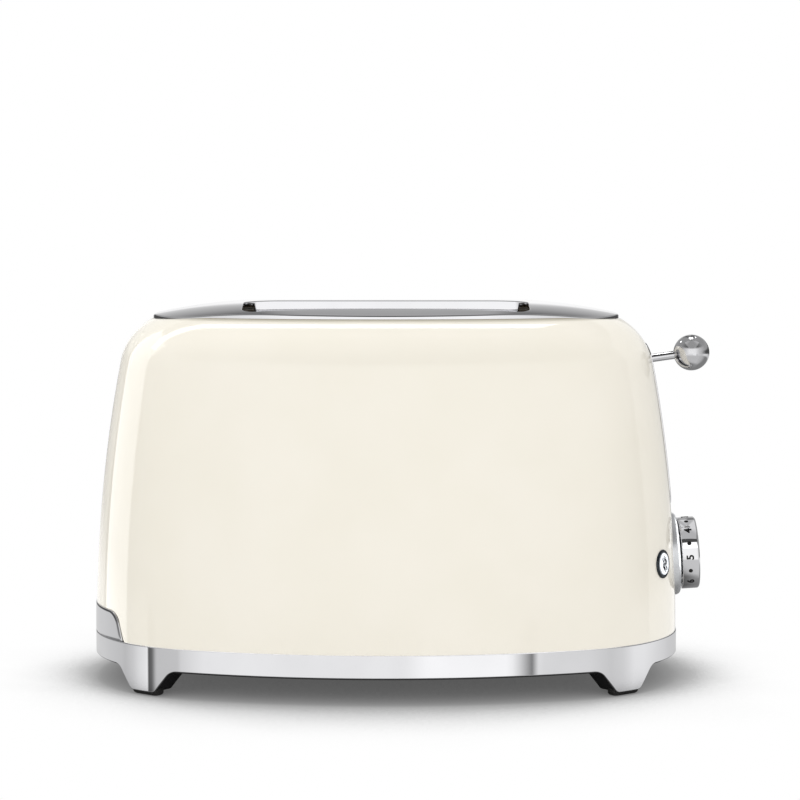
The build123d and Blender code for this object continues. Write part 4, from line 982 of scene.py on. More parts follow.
def crown_rays():
    """Rays across the crown round the front slot, counter-clockwise: where each starts and the way it runs.

    Rays fan out from two centres near the slot's ends, and run straight across between them.
    """
    split = math.atan2(SLOT_Y, CROWN_HALF_LENGTH - FAN_X)
    back, front = np.pi / 2, 3 * np.pi / 2
    straight = np.linspace(FAN_X, -FAN_X, STRAIGHT_RAYS, endpoint=False)
    spans = [
        (split, back, FAN_MIDDLE_RAYS, FAN_X),
        (back, back, STRAIGHT_RAYS, straight),
        (back, np.pi - split, FAN_MIDDLE_RAYS, -FAN_X),
        (np.pi - split, front, FAN_OUTER_RAYS, -FAN_X),
        (front, front, STRAIGHT_RAYS, -straight),
        (-back, split, FAN_OUTER_RAYS, FAN_X),
    ]
    turns = [np.linspace(first, last, rays, endpoint=False) for first, last, rays, _ in spans]
    turns = np.concatenate(turns)
    starts = np.concatenate([np.broadcast_to(start, rays) for _, _, rays, start in spans])
    return starts, np.cos(turns), np.sin(turns)


def crown():
    """Chrome crown: a domed sheet round each slot, rolled slot edges, and a skirt round the outside.

    The long edges of a slot are folded down into flanges, and its ends are left open below a short lip.
    """
    starts, run_x, run_y = crown_rays()
    run_x = np.where(np.abs(run_x) < NO_LENGTH, 0.0, run_x)

    def outer_place(inset):
        """Where each ray meets the outline drawn in by an inset, or the middle line between the slots.

        The two rays that run to the crown's ends stop where the drawn-in outline crosses the middle line.
        """
        def left_inside(reach):
            """Positive while a ray is still inside the drawn-in outline."""
            return -inset - crown_distance(starts + reach * run_x, -SLOT_Y + reach * run_y)
        reach = halve(left_inside, np.full(len(starts), RIM_RAY_NEAR), np.full(len(starts), RIM_RAY_FAR))
        rises = run_y > ONE_POLE
        middle = np.where(rises, SLOT_Y / np.where(rises, run_y, 1.0), NEVER)
        inside = middle < reach - WELD
        reach = np.minimum(reach, middle)
        y = -SLOT_Y + reach * run_y
        place = np.stack([starts + reach * run_x, np.where(inside, 0.0, y)], axis=-1)
        end = np.stack([np.sign(run_x) * (CROWN_HALF_LENGTH - inset), 0 * run_y], axis=-1)
        to_end = np.isclose(np.abs(starts + middle * run_x), CROWN_HALF_LENGTH)
        return np.where(to_end[:, None], end, place), inside

    def out_of_slot(reach):
        """Positive while a ray is still inside the slot."""
        return -slot_distance(starts + reach * run_x, reach * run_y)[0]

    reach = halve(out_of_slot, np.zeros(len(starts)), np.full(len(starts), SLOT_RAY_FAR))
    slot_edge = np.stack([starts + reach * run_x, reach * run_y], axis=-1)
    way_out = slot_distance(*slot_edge.T)[1]
    slot_edge = slot_edge - [0, SLOT_Y]

    def span(outer, inner, drop):
        """Rows from the outer edge to the inner edge on the dome, closer together near both edges."""
        share = (1 - np.cos(np.linspace(0, np.pi, DOME_ROWS)))[:, None, None] / 2
        flat = outer + (inner - outer) * share
        level = dome_level(flat[..., 0], flat[..., 1]) - drop
        return np.concatenate([flat, level[..., None]], axis=-1)

    rim, on_middle = outer_place(CROWN_FILLET)
    under_rim, _ = outer_place(CROWN_WALL + CROWN_FILLET)
    top = span(rim, slot_edge + SLOT_ROLL * way_out, 0.0)
    under = span(under_rim, slot_edge + CROWN_WALL * way_out, CROWN_WALL)
    side_low = dome_level(0.0, SLOT_Y + SLOT_HALF_WIDTH) - SLOT_FLANGE
    at_end = np.abs(way_out[:, 0]) > SLOT_END_FACING
    flange_low = np.where(at_end, top[-1, :, 2] - SLOT_END_LIP, side_low)

    turn = np.linspace(0, np.pi / 2, ROLL_ROWS)[:, None]
    inward = SLOT_ROLL * (1 - np.sin(turn))
    roll_flat = slot_edge + inward[..., None] * way_out
    roll_level = top[-1, :, 2] - SLOT_ROLL * (1 - np.cos(turn))
    roll = np.concatenate([roll_flat, roll_level[..., None]], axis=-1)
    back = np.broadcast_to(slot_edge + CROWN_WALL * way_out, (2, *slot_edge.shape))
    back_level = np.stack([flange_low, under[-1, :, 2]])
    back = np.concatenate([back, back_level[..., None]], axis=-1)
    face_low = np.concatenate([slot_edge, flange_low[:, None]], axis=-1)[None]
    shade = dome_normals(top[..., 0], top[..., 1])

    faces = []
    mirror = np.array([1.0, -1.0, 1.0])
    for grid, normals in (
        (top, shade),
        (np.concatenate([roll, face_low]), None),
        (np.concatenate([face_low, back[:1]]), None),
        (back, None),
        (under[::-1], -dome_normals(under[::-1, :, 0], under[::-1, :, 1])),
    ):
        if normals is None:
            normals = grid_normals(grid)
        faces.append(grid_faces(grid, normals=normals))
        faces.append(grid_faces(grid[:, ::-1] * mirror, normals=normals[:, ::-1] * mirror))

    # The outline columns of the front half, from the far end round the front to the lever end
    first = int(np.nonzero(on_middle)[0].max()) + 1
    order = np.concatenate([np.arange(first, len(starts)), [0]])
    fillet = []
    for angle in np.linspace(0, np.pi / 2, ROLL_ROWS):
        flat = outer_place(CROWN_FILLET * (1 - math.cos(angle)))[0][order]
        level = dome_level(*rim[order].T) - CROWN_FILLET * (1 - math.sin(angle))
        fillet.append(np.concatenate([flat, level[:, None]], axis=-1))
    wall = outer_place(CROWN_WALL)[0][order]
    low = np.full((len(order), 1), CROWN_LOW)
    skirt_rows = [
        np.concatenate([under_rim[order], under[0, order, 2:]], axis=-1),
        np.concatenate([wall, under[0, order, 2:]], axis=-1),
        np.concatenate([wall, low], axis=-1),
        np.concatenate([outer_place(0.0)[0][order], low], axis=-1),
    ]
    for rows in (skirt_rows[:2], skirt_rows[1:3], skirt_rows[2:], skirt_rows[3:] + fillet):
        grid = np.stack(rows)
        whole = np.concatenate([grid, grid[:, -2:0:-1] * mirror], axis=1)
        faces.append(grid_faces(whole))
    return piece("chrome_crown", faces, "polished_chrome", "casing", "top_crown")


crown()


# Band with feet

def foot_edge(along):
    """Lower edge of the band by the distance from a foot's middle: band, sweep, slant, round tip, sole."""
    side = np.abs(along)
    fall = np.array([FOOT_LOW_HALF - FOOT_TOP_HALF, FOOT_LOW - BAND_LOW])
    bend = math.atan2(-fall[1], -fall[0])
    reach = FOOT_SWEEP * math.tan(bend / 2)
    tip_reach = FOOT_TIP * math.tan(bend / 2)
    sweep_x = FOOT_TOP_HALF + reach
    sweep = BAND_LOW - FOOT_SWEEP + np.sqrt(FOOT_SWEEP**2 - np.clip(sweep_x - side, 0, FOOT_SWEEP) ** 2)
    tip_x = FOOT_LOW_HALF - tip_reach
    tip = FOOT_LOW + FOOT_TIP - np.sqrt(FOOT_TIP**2 - np.clip(side - tip_x, 0, FOOT_TIP) ** 2)
    line = FOOT_LOW + (side - FOOT_LOW_HALF) * math.tan(bend)
    level = np.where(side > FOOT_TOP_HALF - reach * math.cos(bend), sweep, line)
    level = np.where(side < FOOT_LOW_HALF + tip_reach * math.cos(bend), tip, level)
    return np.where(side < tip_x, FOOT_LOW, np.where(side > sweep_x, BAND_LOW, level))


def base_band():
    """Chrome band with four tongue feet: plan path times upright rows whose lower edge follows the feet."""
    turns = plan_turns([0, corner_start, FOOT_TURN_LIMIT, corner_stop, np.pi / 2], BAND_COLUMNS)
    sizes = body_sizes(BAND_TOP, 0.0, -BAND_PROUD)
    x, y = plan_points(turns, *sizes)
    foot = np.array(plan_points(np.array(FOOT_TURN), *body_sizes(BAND_TOP)))
    along = (np.abs(x) - foot[0]) * math.cos(FOOT_TURN) + (-np.abs(y) - foot[1]) * math.sin(FOOT_TURN)
    low = foot_edge(along) + BAND_EDGE
    share = (1 - np.cos(np.linspace(0, np.pi, BAND_ROWS)))[:, None] / 2
    level = low + (BAND_TOP - BAND_EDGE - low) * share
    outer = np.stack(np.broadcast_arrays(x, y, level), axis=-1)
    rows = sheet_rows(outer, BAND_WALL, BAND_EDGE)
    return piece("chrome_band", [grid_faces(rows)], "polished_chrome", "casing", "base_band")


base_band()


# Rubber feet

def rubber_feet():
    """Pads under the legs: a rounded rectangle in plan, drawn in towards the floor by a rounded profile."""
    faces = []
    for side_x, side_y in ((1, -1), (1, 1), (-1, 1), (-1, -1)):
        turn = math.atan2(side_x * math.sin(FOOT_TURN), -side_y * math.cos(FOOT_TURN))
        out = np.array([math.sin(turn), -math.cos(turn), 0.0])
        across = np.array([-out[1], out[0], 0.0])
        foot = body_points(np.array(turn), np.array(BAND_TOP)) * [1, 1, 0] - PAD_INSET * out
        rows = []
        for inset, level in PAD_PROFILE:
            wide = PAD_HALF_WIDTH - inset
            deep = PAD_HALF_DEPTH - inset / 2
            corners = [(deep, -wide), (deep, wide), (-deep, wide), (-deep, -wide)]
            outline = rounded(corners, [PAD_CORNER] * len(corners))
            rows.append(foot + outline[:, :1] * out + outline[:, 1:] * across + [0, 0, level])
        rows = np.stack(rows)
        ends = np.broadcast_to(rows.mean(axis=1, keepdims=True), rows.shape)
        faces.append(grid_faces(np.concatenate([ends[:1], rows, ends[-1:]])))
    return piece("rubber_feet", faces, "rubber_pad", "casing", "foot_pads")


rubber_feet()


# Crumb tray front

def tray_panel():
    """Chrome front of the crumb tray: an outline on the body's end drawn in row by row to a middle line."""
    low = BAND_TOP + PANEL_SEAM
    top = PANEL_TOP - PANEL_SEAM
    corners = [
        (PANEL_LOW_HALF - PANEL_SEAM, low), (PANEL_TOP_HALF - PANEL_SEAM, top),
        (PANEL_SEAM - PANEL_TOP_HALF, top), (PANEL_SEAM - PANEL_LOW_HALF, low),
    ]
    radii = [PANEL_LOW_CORNER, PANEL_SWEEP, PANEL_SWEEP, PANEL_LOW_CORNER]
    outline = rounded(corners, radii, steps=14) * [-1, 1]
    ends = np.roll(outline, -1, axis=0)
    counts = np.maximum(np.round(np.linalg.norm(ends - outline, axis=1) / PANEL_STEP).astype(int), 1)
    share = np.concatenate([np.arange(count) / count for count in counts])[:, None]
    outline = np.repeat(outline, counts, axis=0) * (1 - share) + np.repeat(ends, counts, axis=0) * share
    across = np.clip(outline[:, 0], -PANEL_MIDDLE_HALF, PANEL_MIDDLE_HALF)
    middle = np.stack([across, np.full(len(outline), (low + top) / 2)], axis=-1)
    inset = unit(middle - outline) * PANEL_EDGE
    share = (1 - np.linspace(1, 0, PANEL_ROWS) ** PANEL_CROWDING)[:, None, None]
    place = (outline + inset) + (middle - outline - inset) * share
    distance = end_distance(place[..., 0], place[..., 1], -PANEL_PROUD)
    outer = np.stack([-distance, place[..., 0], place[..., 1]], axis=-1)
    rows = disc_rows(outer, PANEL_WALL, PANEL_EDGE)
    return piece("chrome_tray_front", [grid_faces(rows)], "polished_chrome", "tray", "tray_panel")


tray_panel()


# Lever

def stadium(half, low, top, ends=24, sides=40):
    """Tall outline with half-round ends, counter-clockwise from the right side: across and level."""
    turn = np.linspace(0, np.pi, ends)
    arc = half * np.stack([np.cos(turn), np.sin(turn)], axis=-1)
    rise = np.linspace(0, 1, sides)[1:-1, None]
    upper = arc + [0, top - half]
    lower = -arc + [0, low + half]
    right = lower[-1:] * (1 - rise) + upper[:1] * rise
    left = upper[-1:] * (1 - rise) + lower[:1] * rise
    return np.concatenate([right, upper, left, lower])


def lever_trim():
    """Thin plate round the lever's slit: rows from its outline in to the slit, laid on the body's end."""
    outer = stadium(TRIM_HALF - TRIM_EDGE, TRIM_LOW + TRIM_EDGE, TRIM_TOP - TRIM_EDGE)
    inner = stadium(SLIT_HALF + TRIM_EDGE, SLIT_LOW - TRIM_EDGE, SLIT_TOP + TRIM_EDGE)
    share = np.linspace(0, 1, TRIM_ROWS)[:, None, None]
    place = outer + (inner - outer) * share
    level = np.minimum(place[..., 1], SHOULDER_LEVEL)
    rise = np.clip(place[..., 1] - SHOULDER_LEVEL, 0, None)
    draw = SHOULDER_RADIUS - np.sqrt(SHOULDER_RADIUS**2 - rise**2)
    lean = ((place[..., 1] - BAND_TOP) ** 2 - (level - BAND_TOP) ** 2) / (2 * END_BOW)
    distance = end_distance(place[..., 0], level, -TRIM_PROUD) - draw - lean
    grid = np.stack([distance, place[..., 0], place[..., 1]], axis=-1)
    rows = sheet_rows(grid, TRIM_WALL, TRIM_EDGE)
    return piece("lever_plate", [grid_faces(rows)], "polished_chrome", "casing", "lever_trim")


def lever():
    """Chrome stem and ball: two turned pieces on one tilted axis, the ball bored to take the stem."""
    stem_front = BALL_REACH - BALL_RADIUS + STEM_IN_BALL
    corners = [(0, STEM_BACK), (STEM_RADIUS, STEM_BACK), (STEM_RADIUS, stem_front), (0, stem_front)]
    stem = rounded(corners, [0, STEM_EDGE, STEM_EDGE, 0])
    stem_rows = grid_faces(lathe(stem, stem_origin, stem_axis, STEM_COLUMNS))
    piece("lever_stem_chrome", [stem_rows], "polished_chrome", "lift", "lever_stem", finish=buffed)
    bore = STEM_RADIUS + STEM_CLEAR
    turn = np.linspace(np.pi - math.asin(bore / BALL_RADIUS), 0, BALL_ROWS)
    ball = BALL_RADIUS * np.stack([np.sin(turn), np.cos(turn)], axis=-1) + [0, BALL_REACH]
    ball[-1, 0] = 0
    socket = np.array([(0, stem_front), (bore, stem_front), ball[0]])
    faces = [grid_faces(lathe(part, stem_origin, stem_axis)) for part in (socket, ball)]
    piece("lever_ball_chrome", faces, "polished_chrome", "lift", "lever_ball", finish=buffed)


lever_trim()
lever()


# Dial

def dial():
    """Browning dial: a turned cup with a rolled rim, a dished face and a sleeve for the cancel button."""
    rim = DIAL_RADIUS - DIAL_RIM
    face = DIAL_FRONT - DIAL_DISH
    face_back = DIAL_FRONT - DIAL_FACE_WALL
    inner = DIAL_RADIUS - DIAL_WALL
    profile = [
        (DIAL_RADIUS, DIAL_BACK, 0.5), (DIAL_RADIUS, DIAL_FRONT, 1.2),
        (rim, DIAL_FRONT, 0.3), (rim - DIAL_SLOPE, face, 0.3),
        (SLEEVE_LIP + SLEEVE_SLOPE, face, 0.3), (SLEEVE_LIP, DIAL_FRONT, 0.3),
        (SLEEVE_BORE, DIAL_FRONT, 0.3), (SLEEVE_BORE, SLEEVE_FLOOR, 0.2),
        (SPINDLE_BORE, SLEEVE_FLOOR, 0.2), (SPINDLE_BORE, SPINDLE_BACK, 0.1),
        (SPINDLE_RADIUS, SPINDLE_BACK, 0.2), (SPINDLE_RADIUS, SLEEVE_BACK, 0.3),
        (SLEEVE_RADIUS, SLEEVE_BACK, 0.3), (SLEEVE_RADIUS, face_back, 0.3),
        (inner, face_back, 0.3), (inner, DIAL_BACK, 0.3),
    ]
    faces = closed_lathe(profile, dial_origin, dial_axis, FINE_COLUMNS)
    piece("chrome_dial", [faces], "polished_chrome", "dial", "browning_dial")


def cancel_button():
    """Button in the middle of the dial: a turned cap with a shallow dish on a plunger."""
    corners = [
        (0, SPINDLE_BACK), (PLUNGER_RADIUS, SPINDLE_BACK), (PLUNGER_RADIUS, CAP_BACK),
        (CAP_RADIUS, CAP_BACK), (CAP_RADIUS, CAP_FRONT), (CAP_DISH_RADIUS, CAP_FRONT),
        (0, CAP_FRONT - CAP_DISH),
    ]
    profile = rounded(corners, [0, 0.3, 0.3, 0.3, 0.5, 3.0, 0])
    faces = grid_faces(lathe(profile, dial_origin, dial_axis))
    piece("cancel_cap", [faces], "satin_silver", "cancel", "cancel_button")


def dial_surround():
    """Satin collar that flares behind the dial, and the dark ring that fills the gap in it."""
    collar = COLLAR_FLARE + [
        (COLLAR_SEAT_RADIUS, COLLAR_FRONT, 0.4), (COLLAR_SEAT_RADIUS, COLLAR_SEAT, 0.2),
        (COLLAR_BORE, COLLAR_SEAT, 0.3), (COLLAR_BORE, COLLAR_BACK, 0.3),
    ]
    faces = closed_lathe(collar, dial_origin, dial_axis, FINE_COLUMNS)
    piece("dial_collar_satin", [faces], "satin_silver", "casing", "dial_collar")
    ring = [
        (RING_RADIUS, COLLAR_SEAT, 0.2), (RING_RADIUS, RING_FRONT, 0.4),
        (RING_BORE, RING_FRONT, 0.4), (RING_BORE, COLLAR_SEAT, 0.2),
    ]
    faces = closed_lathe(ring, dial_origin, dial_axis, FINE_COLUMNS)
    piece("dial_gap_ring", [faces], "dark_bezel", "casing", "dial_light_ring")


def on_dial(across, toward, height, turn):
    """Lays flat points on the dial's rim: across runs round it, toward to the body, height stands proud."""
    up = np.array([-dial_axis[2], 0.0, dial_axis[0]])
    ahead = np.array([0.0, -1.0, 0.0])
    radius = DIAL_RADIUS + height
    angle = turn - across / DIAL_RADIUS
    station = (DIAL_BACK + DIAL_FRONT) / 2 - NUMBER_SHIFT - toward
    arm = np.cos(angle)[..., None] * up + np.sin(angle)[..., None] * ahead
    return dial_origin + station[..., None] * dial_axis + radius[..., None] * arm


def dial_numbers():
    """Printed numbers one to six round the rim, an eighth of a turn apart, with a dot between each two."""
    for number in range(1, NUMBERS + 1):
        turn = NUMBER_TURN * (number - NUMBER_ON_TOP)
        text = bpy.data.curves.new(f"number_{number}", "FONT")
        text.body = str(number)
        text.size = NUMBER_TYPE_SIZE
        text.offset = NUMBER_WEIGHT
        text.extrude = NUMBER_HALF_FILM
        text.resolution_u = 6
        holder = set_out(f"number_{number}", text)
        bpy.context.view_layer.update()
        drawn = holder.evaluated_get(bpy.context.evaluated_depsgraph_get())
        shape = bpy.data.meshes.new_from_object(drawn)
        bpy.data.objects.remove(holder)
        points = np.zeros(len(shape.vertices) * 3)
        shape.vertices.foreach_get("co", points)
        points = points.reshape(-1, 3)
        points -= (points.max(axis=0) + points.min(axis=0)) / 2
        points[:, :2] *= NUMBER_HEIGHT / np.ptp(points[:, 1])
        points[:, 0] *= NUMBER_STRETCH
        points = on_dial(points[:, 0], points[:, 1], points[:, 2] + NUMBER_LIFT, turn)
        shape.vertices.foreach_set("co", (points * MM).ravel())
        shape.update()
        settle(set_out(f"dial_number_{number}", shape), ink, "dial", [])
    for gap in range(1, NUMBERS):
        turn = NUMBER_TURN * (gap + 0.5 - NUMBER_ON_TOP)
        angle = np.arange(DOT_STEPS) * 2 * np.pi / DOT_STEPS
        radius = np.array([0.0, DOT_RADIUS, DOT_RADIUS, 0.0])[:, None]
        height = np.array([-DOT_SUNK, -DOT_SUNK, DOT_PROUD, DOT_PROUD])[:, None] + 0 * angle
        grid = on_dial(radius * np.cos(angle), -radius * np.sin(angle), height, turn)
        piece(f"dial_dot_{gap}", [grid_faces(grid)], "black_plastic", "dial", finish=ink)


dial()
cancel_button()
dial_surround()
dial_numbers()


# Side buttons

def side_button(name):
    """Turned bezel and the domed button in it: two profiles carried round the button's axis."""
    origin, axis = button_places[name]
    ring = [
        (BEZEL_RADIUS, BEZEL_BACK, 0.2), (BEZEL_RADIUS, BEZEL_PROUD, 0.6),
        (BEZEL_BORE, BEZEL_PROUD, 0.25), (BEZEL_BORE, BEZEL_BACK, 0.2),
    ]
    faces = closed_lathe(ring, origin, axis)
    piece(f"button_ring_{name}", [faces], "dark_bezel", "casing", f"button_bezel_{name}")
    corners = [
        (0, BUTTON_BACK), (BUTTON_RADIUS, BUTTON_BACK), (BUTTON_RADIUS, BUTTON_EDGE),
        (BUTTON_FLAT, BUTTON_PROUD), (0, BUTTON_PROUD),
    ]
    cap = grid_faces(lathe(rounded(corners, [0, 0.3, 0.5, 4.0, 0]), origin, axis))
    body = f"button_{name}"
    piece(f"button_cap_{name}", [cap], "satin_silver", body, f"side_button_{name}", finish=pearl)


def button_mark(name):
    """Three upright wavy lines printed on a button: a band along a sine, narrowed at its ends."""
    origin, axis = button_places[name]
    axis, across, up = axes_about(axis)
    run = np.linspace(-1, 1, MARK_STEPS)
    low = BUTTON_PROUD - MARK_SUNK
    high = BUTTON_PROUD + MARK_PROUD
    station = np.array([low, low, high, high, low])
    for line in (-1, 0, 1):
        height = MARK_HALF_HEIGHT - MARK_SHORTER * abs(line)
        sway = MARK_SPACING * line + MARK_SWAY * np.sin(2 * np.pi * run)
        middle = np.stack([sway, height * run], axis=-1)
        slope = np.gradient(middle, axis=0)
        beside = unit(np.stack([slope[:, 1], -slope[:, 0]], axis=-1)) * MARK_HALF_WIDTH
        beside *= np.sqrt(np.clip(1 + MARK_END_SQUARE - run**4, 0, 1))[:, None]
        left = middle - beside
        right = middle + beside
        rows = np.stack([left, right, right, left, left], axis=1)
        grid = origin + rows[..., :1] * across + rows[..., 1:] * up + station[:, None] * axis
        ends = np.stack([grid[[0, -1]].mean(axis=1)] * len(station), axis=1)
        faces = grid_faces(np.concatenate([ends[:1], grid, ends[1:]]), closed=False)
        piece(f"button_mark_{name}_{line + 2}", [faces], "black_plastic", f"button_{name}", finish=ink)


for button_name in button_places:
    side_button(button_name)
    button_mark(button_name)


# Return spring

def return_spring():
    """Coil spring, which the lift draws out: a wire circle carried along a helix over the length of the
    spring's solid at rest.
    """
    low, high = node_box("return_spring")
    middle = (low + high) / 2
    bottom = low[2] + SPRING_WIRE
    rise = high[2] - low[2] - 2 * SPRING_WIRE
    share = np.linspace(0, 1, SPRING_TURNS * SPRING_STEPS + 1)
    turn = share * SPRING_TURNS * 2 * np.pi
    path = np.stack([
        middle[0] + SPRING_RADIUS * np.cos(turn),
        middle[1] + SPRING_RADIUS * np.sin(turn),
        bottom + rise * share,
    ], axis=-1)
    ahead = unit(np.gradient(path, axis=0))
    out = np.stack([np.cos(turn), np.sin(turn), 0 * turn], axis=-1)
    beside = np.cross(ahead, out)
    angle = (np.arange(WIRE_STEPS) * 2 * np.pi / WIRE_STEPS)[:, None]
    circle = np.cos(angle) * out[:, None] + np.sin(angle) * beside[:, None]
    grid = path[:, None] + SPRING_WIRE * circle
    ends = np.repeat(path[[0, -1], None], WIRE_STEPS, axis=1)
    grid = np.concatenate([ends[:1], grid, ends[1:]])
    obj = piece("coil_spring", [grid_faces(grid)], "steel_wire", None, "return_spring")
    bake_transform(obj)


return_spring()


# Floor, light and camera

FLOOR_REACH = 6.0
SHADE_REACH = 0.3
# The floor's brightness by the share of open sky over it
FLOOR_SHADE = [
    (0.0, 0.09), (0.13, 0.185), (0.49, 0.318), (0.63, 0.485), (0.70, 0.76), (0.78, 0.98), (0.82, 1.0),
]


def plain_floor():
    """White floor, darker where the object shuts out the light: mirrors look through it, dimmed alike."""
    mesh = bpy.data.meshes.new("floor")
    corners = [(x * FLOOR_REACH, y * FLOOR_REACH, 0) for x, y in ((-1, -1), (1, -1), (1, 1), (-1, 1))]
    mesh.from_pydata(corners, [], [(0, 1, 2, 3)])
    floor = set_out("floor", mesh)
    material = bpy.data.materials.new("pale_floor")
    material.use_nodes = True
    tree = material.node_tree
    tree.nodes.clear()
    path = add_node(tree, "ShaderNodeLightPath").outputs
    reach = {"Distance": SHADE_REACH}
    open_sky = add_node(tree, "ShaderNodeAmbientOcclusion", reach, samples=16).outputs["AO"]
    shade = add_node(tree, RAMP, {0: open_sky}, greys(FLOOR_SHADE)).outputs[0]
    light = add_node(tree, "ShaderNodeEmission", {"Color": shade})
    glass = add_node(tree, "ShaderNodeBsdfTransparent", {"Color": shade})
    paint = add_node(tree, "ShaderNodeBsdfDiffuse", {"Color": linear("F4F4F4")})
    mirrored = add_node(tree, EITHER, {0: path["Is Glossy Ray"], 1: paint.outputs[0], 2: glass.outputs[0]})
    seen = add_node(tree, EITHER, {0: path["Is Camera Ray"], 1: mirrored.outputs[0], 2: light.outputs[0]})
    add_node(tree, "ShaderNodeOutputMaterial", {"Surface": seen.outputs[0]})
    mesh.materials.append(material)


# What mirrors see of the room. Each layer begins over a span of heights, which are sines of the elevation,
# and has pairs of a bearing in degrees, from straight ahead towards the lever end, and a brightness.
FULL = 2.5
FRONT_PANELS = [(-60, 0.62), (-45, 0.75), (-20, 1.1), (20, 1.1), (45, 0.75), (60, 0.62)]
ROOM_LAYERS = [
    (-1.1, -1.05, [(-180, 0.34), (180, 0.34)]),
    (-0.97, -0.88, [
        (-180, 0.26), (-100, 0.26), (-75, 0.45), (-40, 0.66), (40, 0.68), (75, 0.55), (100, 0.28),
        (180, 0.26),
    ]),
    (-0.30, -0.22, [
        (-180, 0.70), (-135, 0.70), (-105, 0.62), (-101, 0.59), (-97, 0.63), (-91.3, 0.70), (-84.6, 0.84),
        (-77.8, 0.93), (-75.8, 1.0), (-75.2, 0.11), (-71, 0.16), (-69, 0.40), (-67, 0.64), (-48, 0.66),
        (-39.5, 0.97), (0, 0.97), (2, 0.94), (4, 0.96), (8.6, 1.13), (26, 1.13), (27.5, 0.92), (31.8, 0.06),
        (32.2, 0.88), (33.5, 0.82), (42, 0.81), (63, 0.70), (74, 0.76), (86, 0.93), (98, 0.94), (135, 0.7),
        (180, 0.6),
    ]),
    (-0.13, -0.08, [
        (-180, 0.08), (-100, 0.08), (-80, 0.3), *FRONT_PANELS, (80, 0.3), (100, 0.08), (180, 0.08),
    ]),
    (0.10, 0.20, [
        (-180, 0.40), (-100, 0.40), (-80, 0.5), *FRONT_PANELS, (80, 0.5), (100, 0.40), (180, 0.40),
    ]),
    (0.42, 0.57, [(-180, 0.36), (-90, 0.36), (-35, 0.08), (35, 0.08), (90, 0.36), (180, 0.36)]),
]

# Two upright panels straight behind, a wide one and a narrow one in its middle: how far round each begins,
# and its brightness by height
BEHIND_PANELS = [
    ([(160, 0.0), (166, 1.0)], [
        (0.02, 0.9), (0.09, 0.78), (0.16, 0.68), (0.23, 0.60), (0.30, 0.54), (0.38, 0.46), (0.45, 0.38),
        (0.52, 0.26), (0.58, 0.13), (0.7, 0.09), (1.0, 0.08),
    ]),
    ([(173.5, 0.0), (176.4, 1.0)], [
        (0.02, 1.0), (0.14, 1.0), (0.3, 0.6), (0.45, 0.44), (0.56, 0.40), (0.63, 0.5), (0.75, 0.3),
        (1.0, 0.1),
    ]),
]
BEHIND_BEGINS = (-0.06, 0.0)

# Soft light on the object: its level, and the two ends between which it weakens towards the back and the
# top, with the share of light at each
FILL = 1.48
FILL_BACK = {1: -0.4, 2: 0.4, 3: 1.0, 4: 0.55}
FILL_TOP = {1: 0.2, 2: 0.9, 3: 1.0, 4: 0.6}


def studio_world():
    """Even light, a white cloth behind the object, and a room of panels and gaps that only mirrors see."""
    world = bpy.data.worlds.new("studio")
    bpy.context.scene.world = world
    world.use_nodes = True
    tree = world.node_tree
    tree.nodes.clear()
    way = add_node(tree, "ShaderNodeTexCoord").outputs["Generated"]
    x, y, z = add_node(tree, "ShaderNodeSeparateXYZ", {0: way}).outputs
    ahead = add_node(tree, MATHS, {0: y, 1: -1.0}, operation="MULTIPLY").outputs[0]
    bearing = add_node(tree, MATHS, {0: x, 1: ahead}, operation="ARCTAN2").outputs[0]
    turn = add_node(tree, RANGE, {0: bearing, 1: -math.pi, 2: math.pi}).outputs[0]
    off_ahead = add_node(tree, MATHS, {0: bearing}, operation="ABSOLUTE").outputs[0]
    off_ahead = add_node(tree, RANGE, {0: off_ahead, 1: 0.0, 2: math.pi}).outputs[0]

    room = linear("000000")
    for low, high, stops in ROOM_LAYERS:
        stops = greys([(degrees / 360 + 0.5, value) for degrees, value in stops], FULL)
        layer = add_node(tree, RAMP, {0: turn}, stops).outputs[0]
        share = add_node(tree, RANGE, {0: z, 1: low, 2: high}).outputs[0]
        room = add_node(tree, MIX, {0: share, 6: room, 7: layer}, data_type="RGBA").outputs[2]
    above = add_node(tree, RANGE, {0: z, 1: BEHIND_BEGINS[0], 2: BEHIND_BEGINS[1]}).outputs[0]
    for span, stops in BEHIND_PANELS:
        layer = add_node(tree, RAMP, {0: z}, greys(stops, FULL)).outputs[0]
        span = greys([(degrees / 180, value) for degrees, value in span])
        share = add_node(tree, RAMP, {0: off_ahead}, span).outputs[0]
        share = add_node(tree, MATHS, {0: share, 1: above}, operation="MULTIPLY").outputs[0]
        room = add_node(tree, MIX, {0: share, 6: room, 7: layer}, data_type="RGBA").outputs[2]

    white = linear("FFFFFF")
    from_side = add_node(tree, RANGE, {0: y, **FILL_BACK}).outputs[0]
    from_above = add_node(tree, RANGE, {0: z, **FILL_TOP}).outputs[0]
    fill = add_node(tree, MATHS, {0: from_side, 1: from_above}, operation="MULTIPLY").outputs[0]
    fill = add_node(tree, MATHS, {0: fill, 1: FILL}, operation="MULTIPLY").outputs[0]
    path = add_node(tree, "ShaderNodeLightPath").outputs
    soft = add_node(tree, BACKGROUND, {"Color": white, "Strength": fill})
    shine = add_node(tree, BACKGROUND, {"Color": room, "Strength": FULL})
    cloth = add_node(tree, BACKGROUND, {"Color": white})
    lit = add_node(tree, EITHER, {0: path["Is Glossy Ray"], 1: soft.outputs[0], 2: shine.outputs[0]})
    seen = add_node(tree, EITHER, {0: path["Is Camera Ray"], 1: lit.outputs[0], 2: cloth.outputs[0]})
    add_node(tree, "ShaderNodeOutputWorld", {"Surface": seen.outputs[0]})


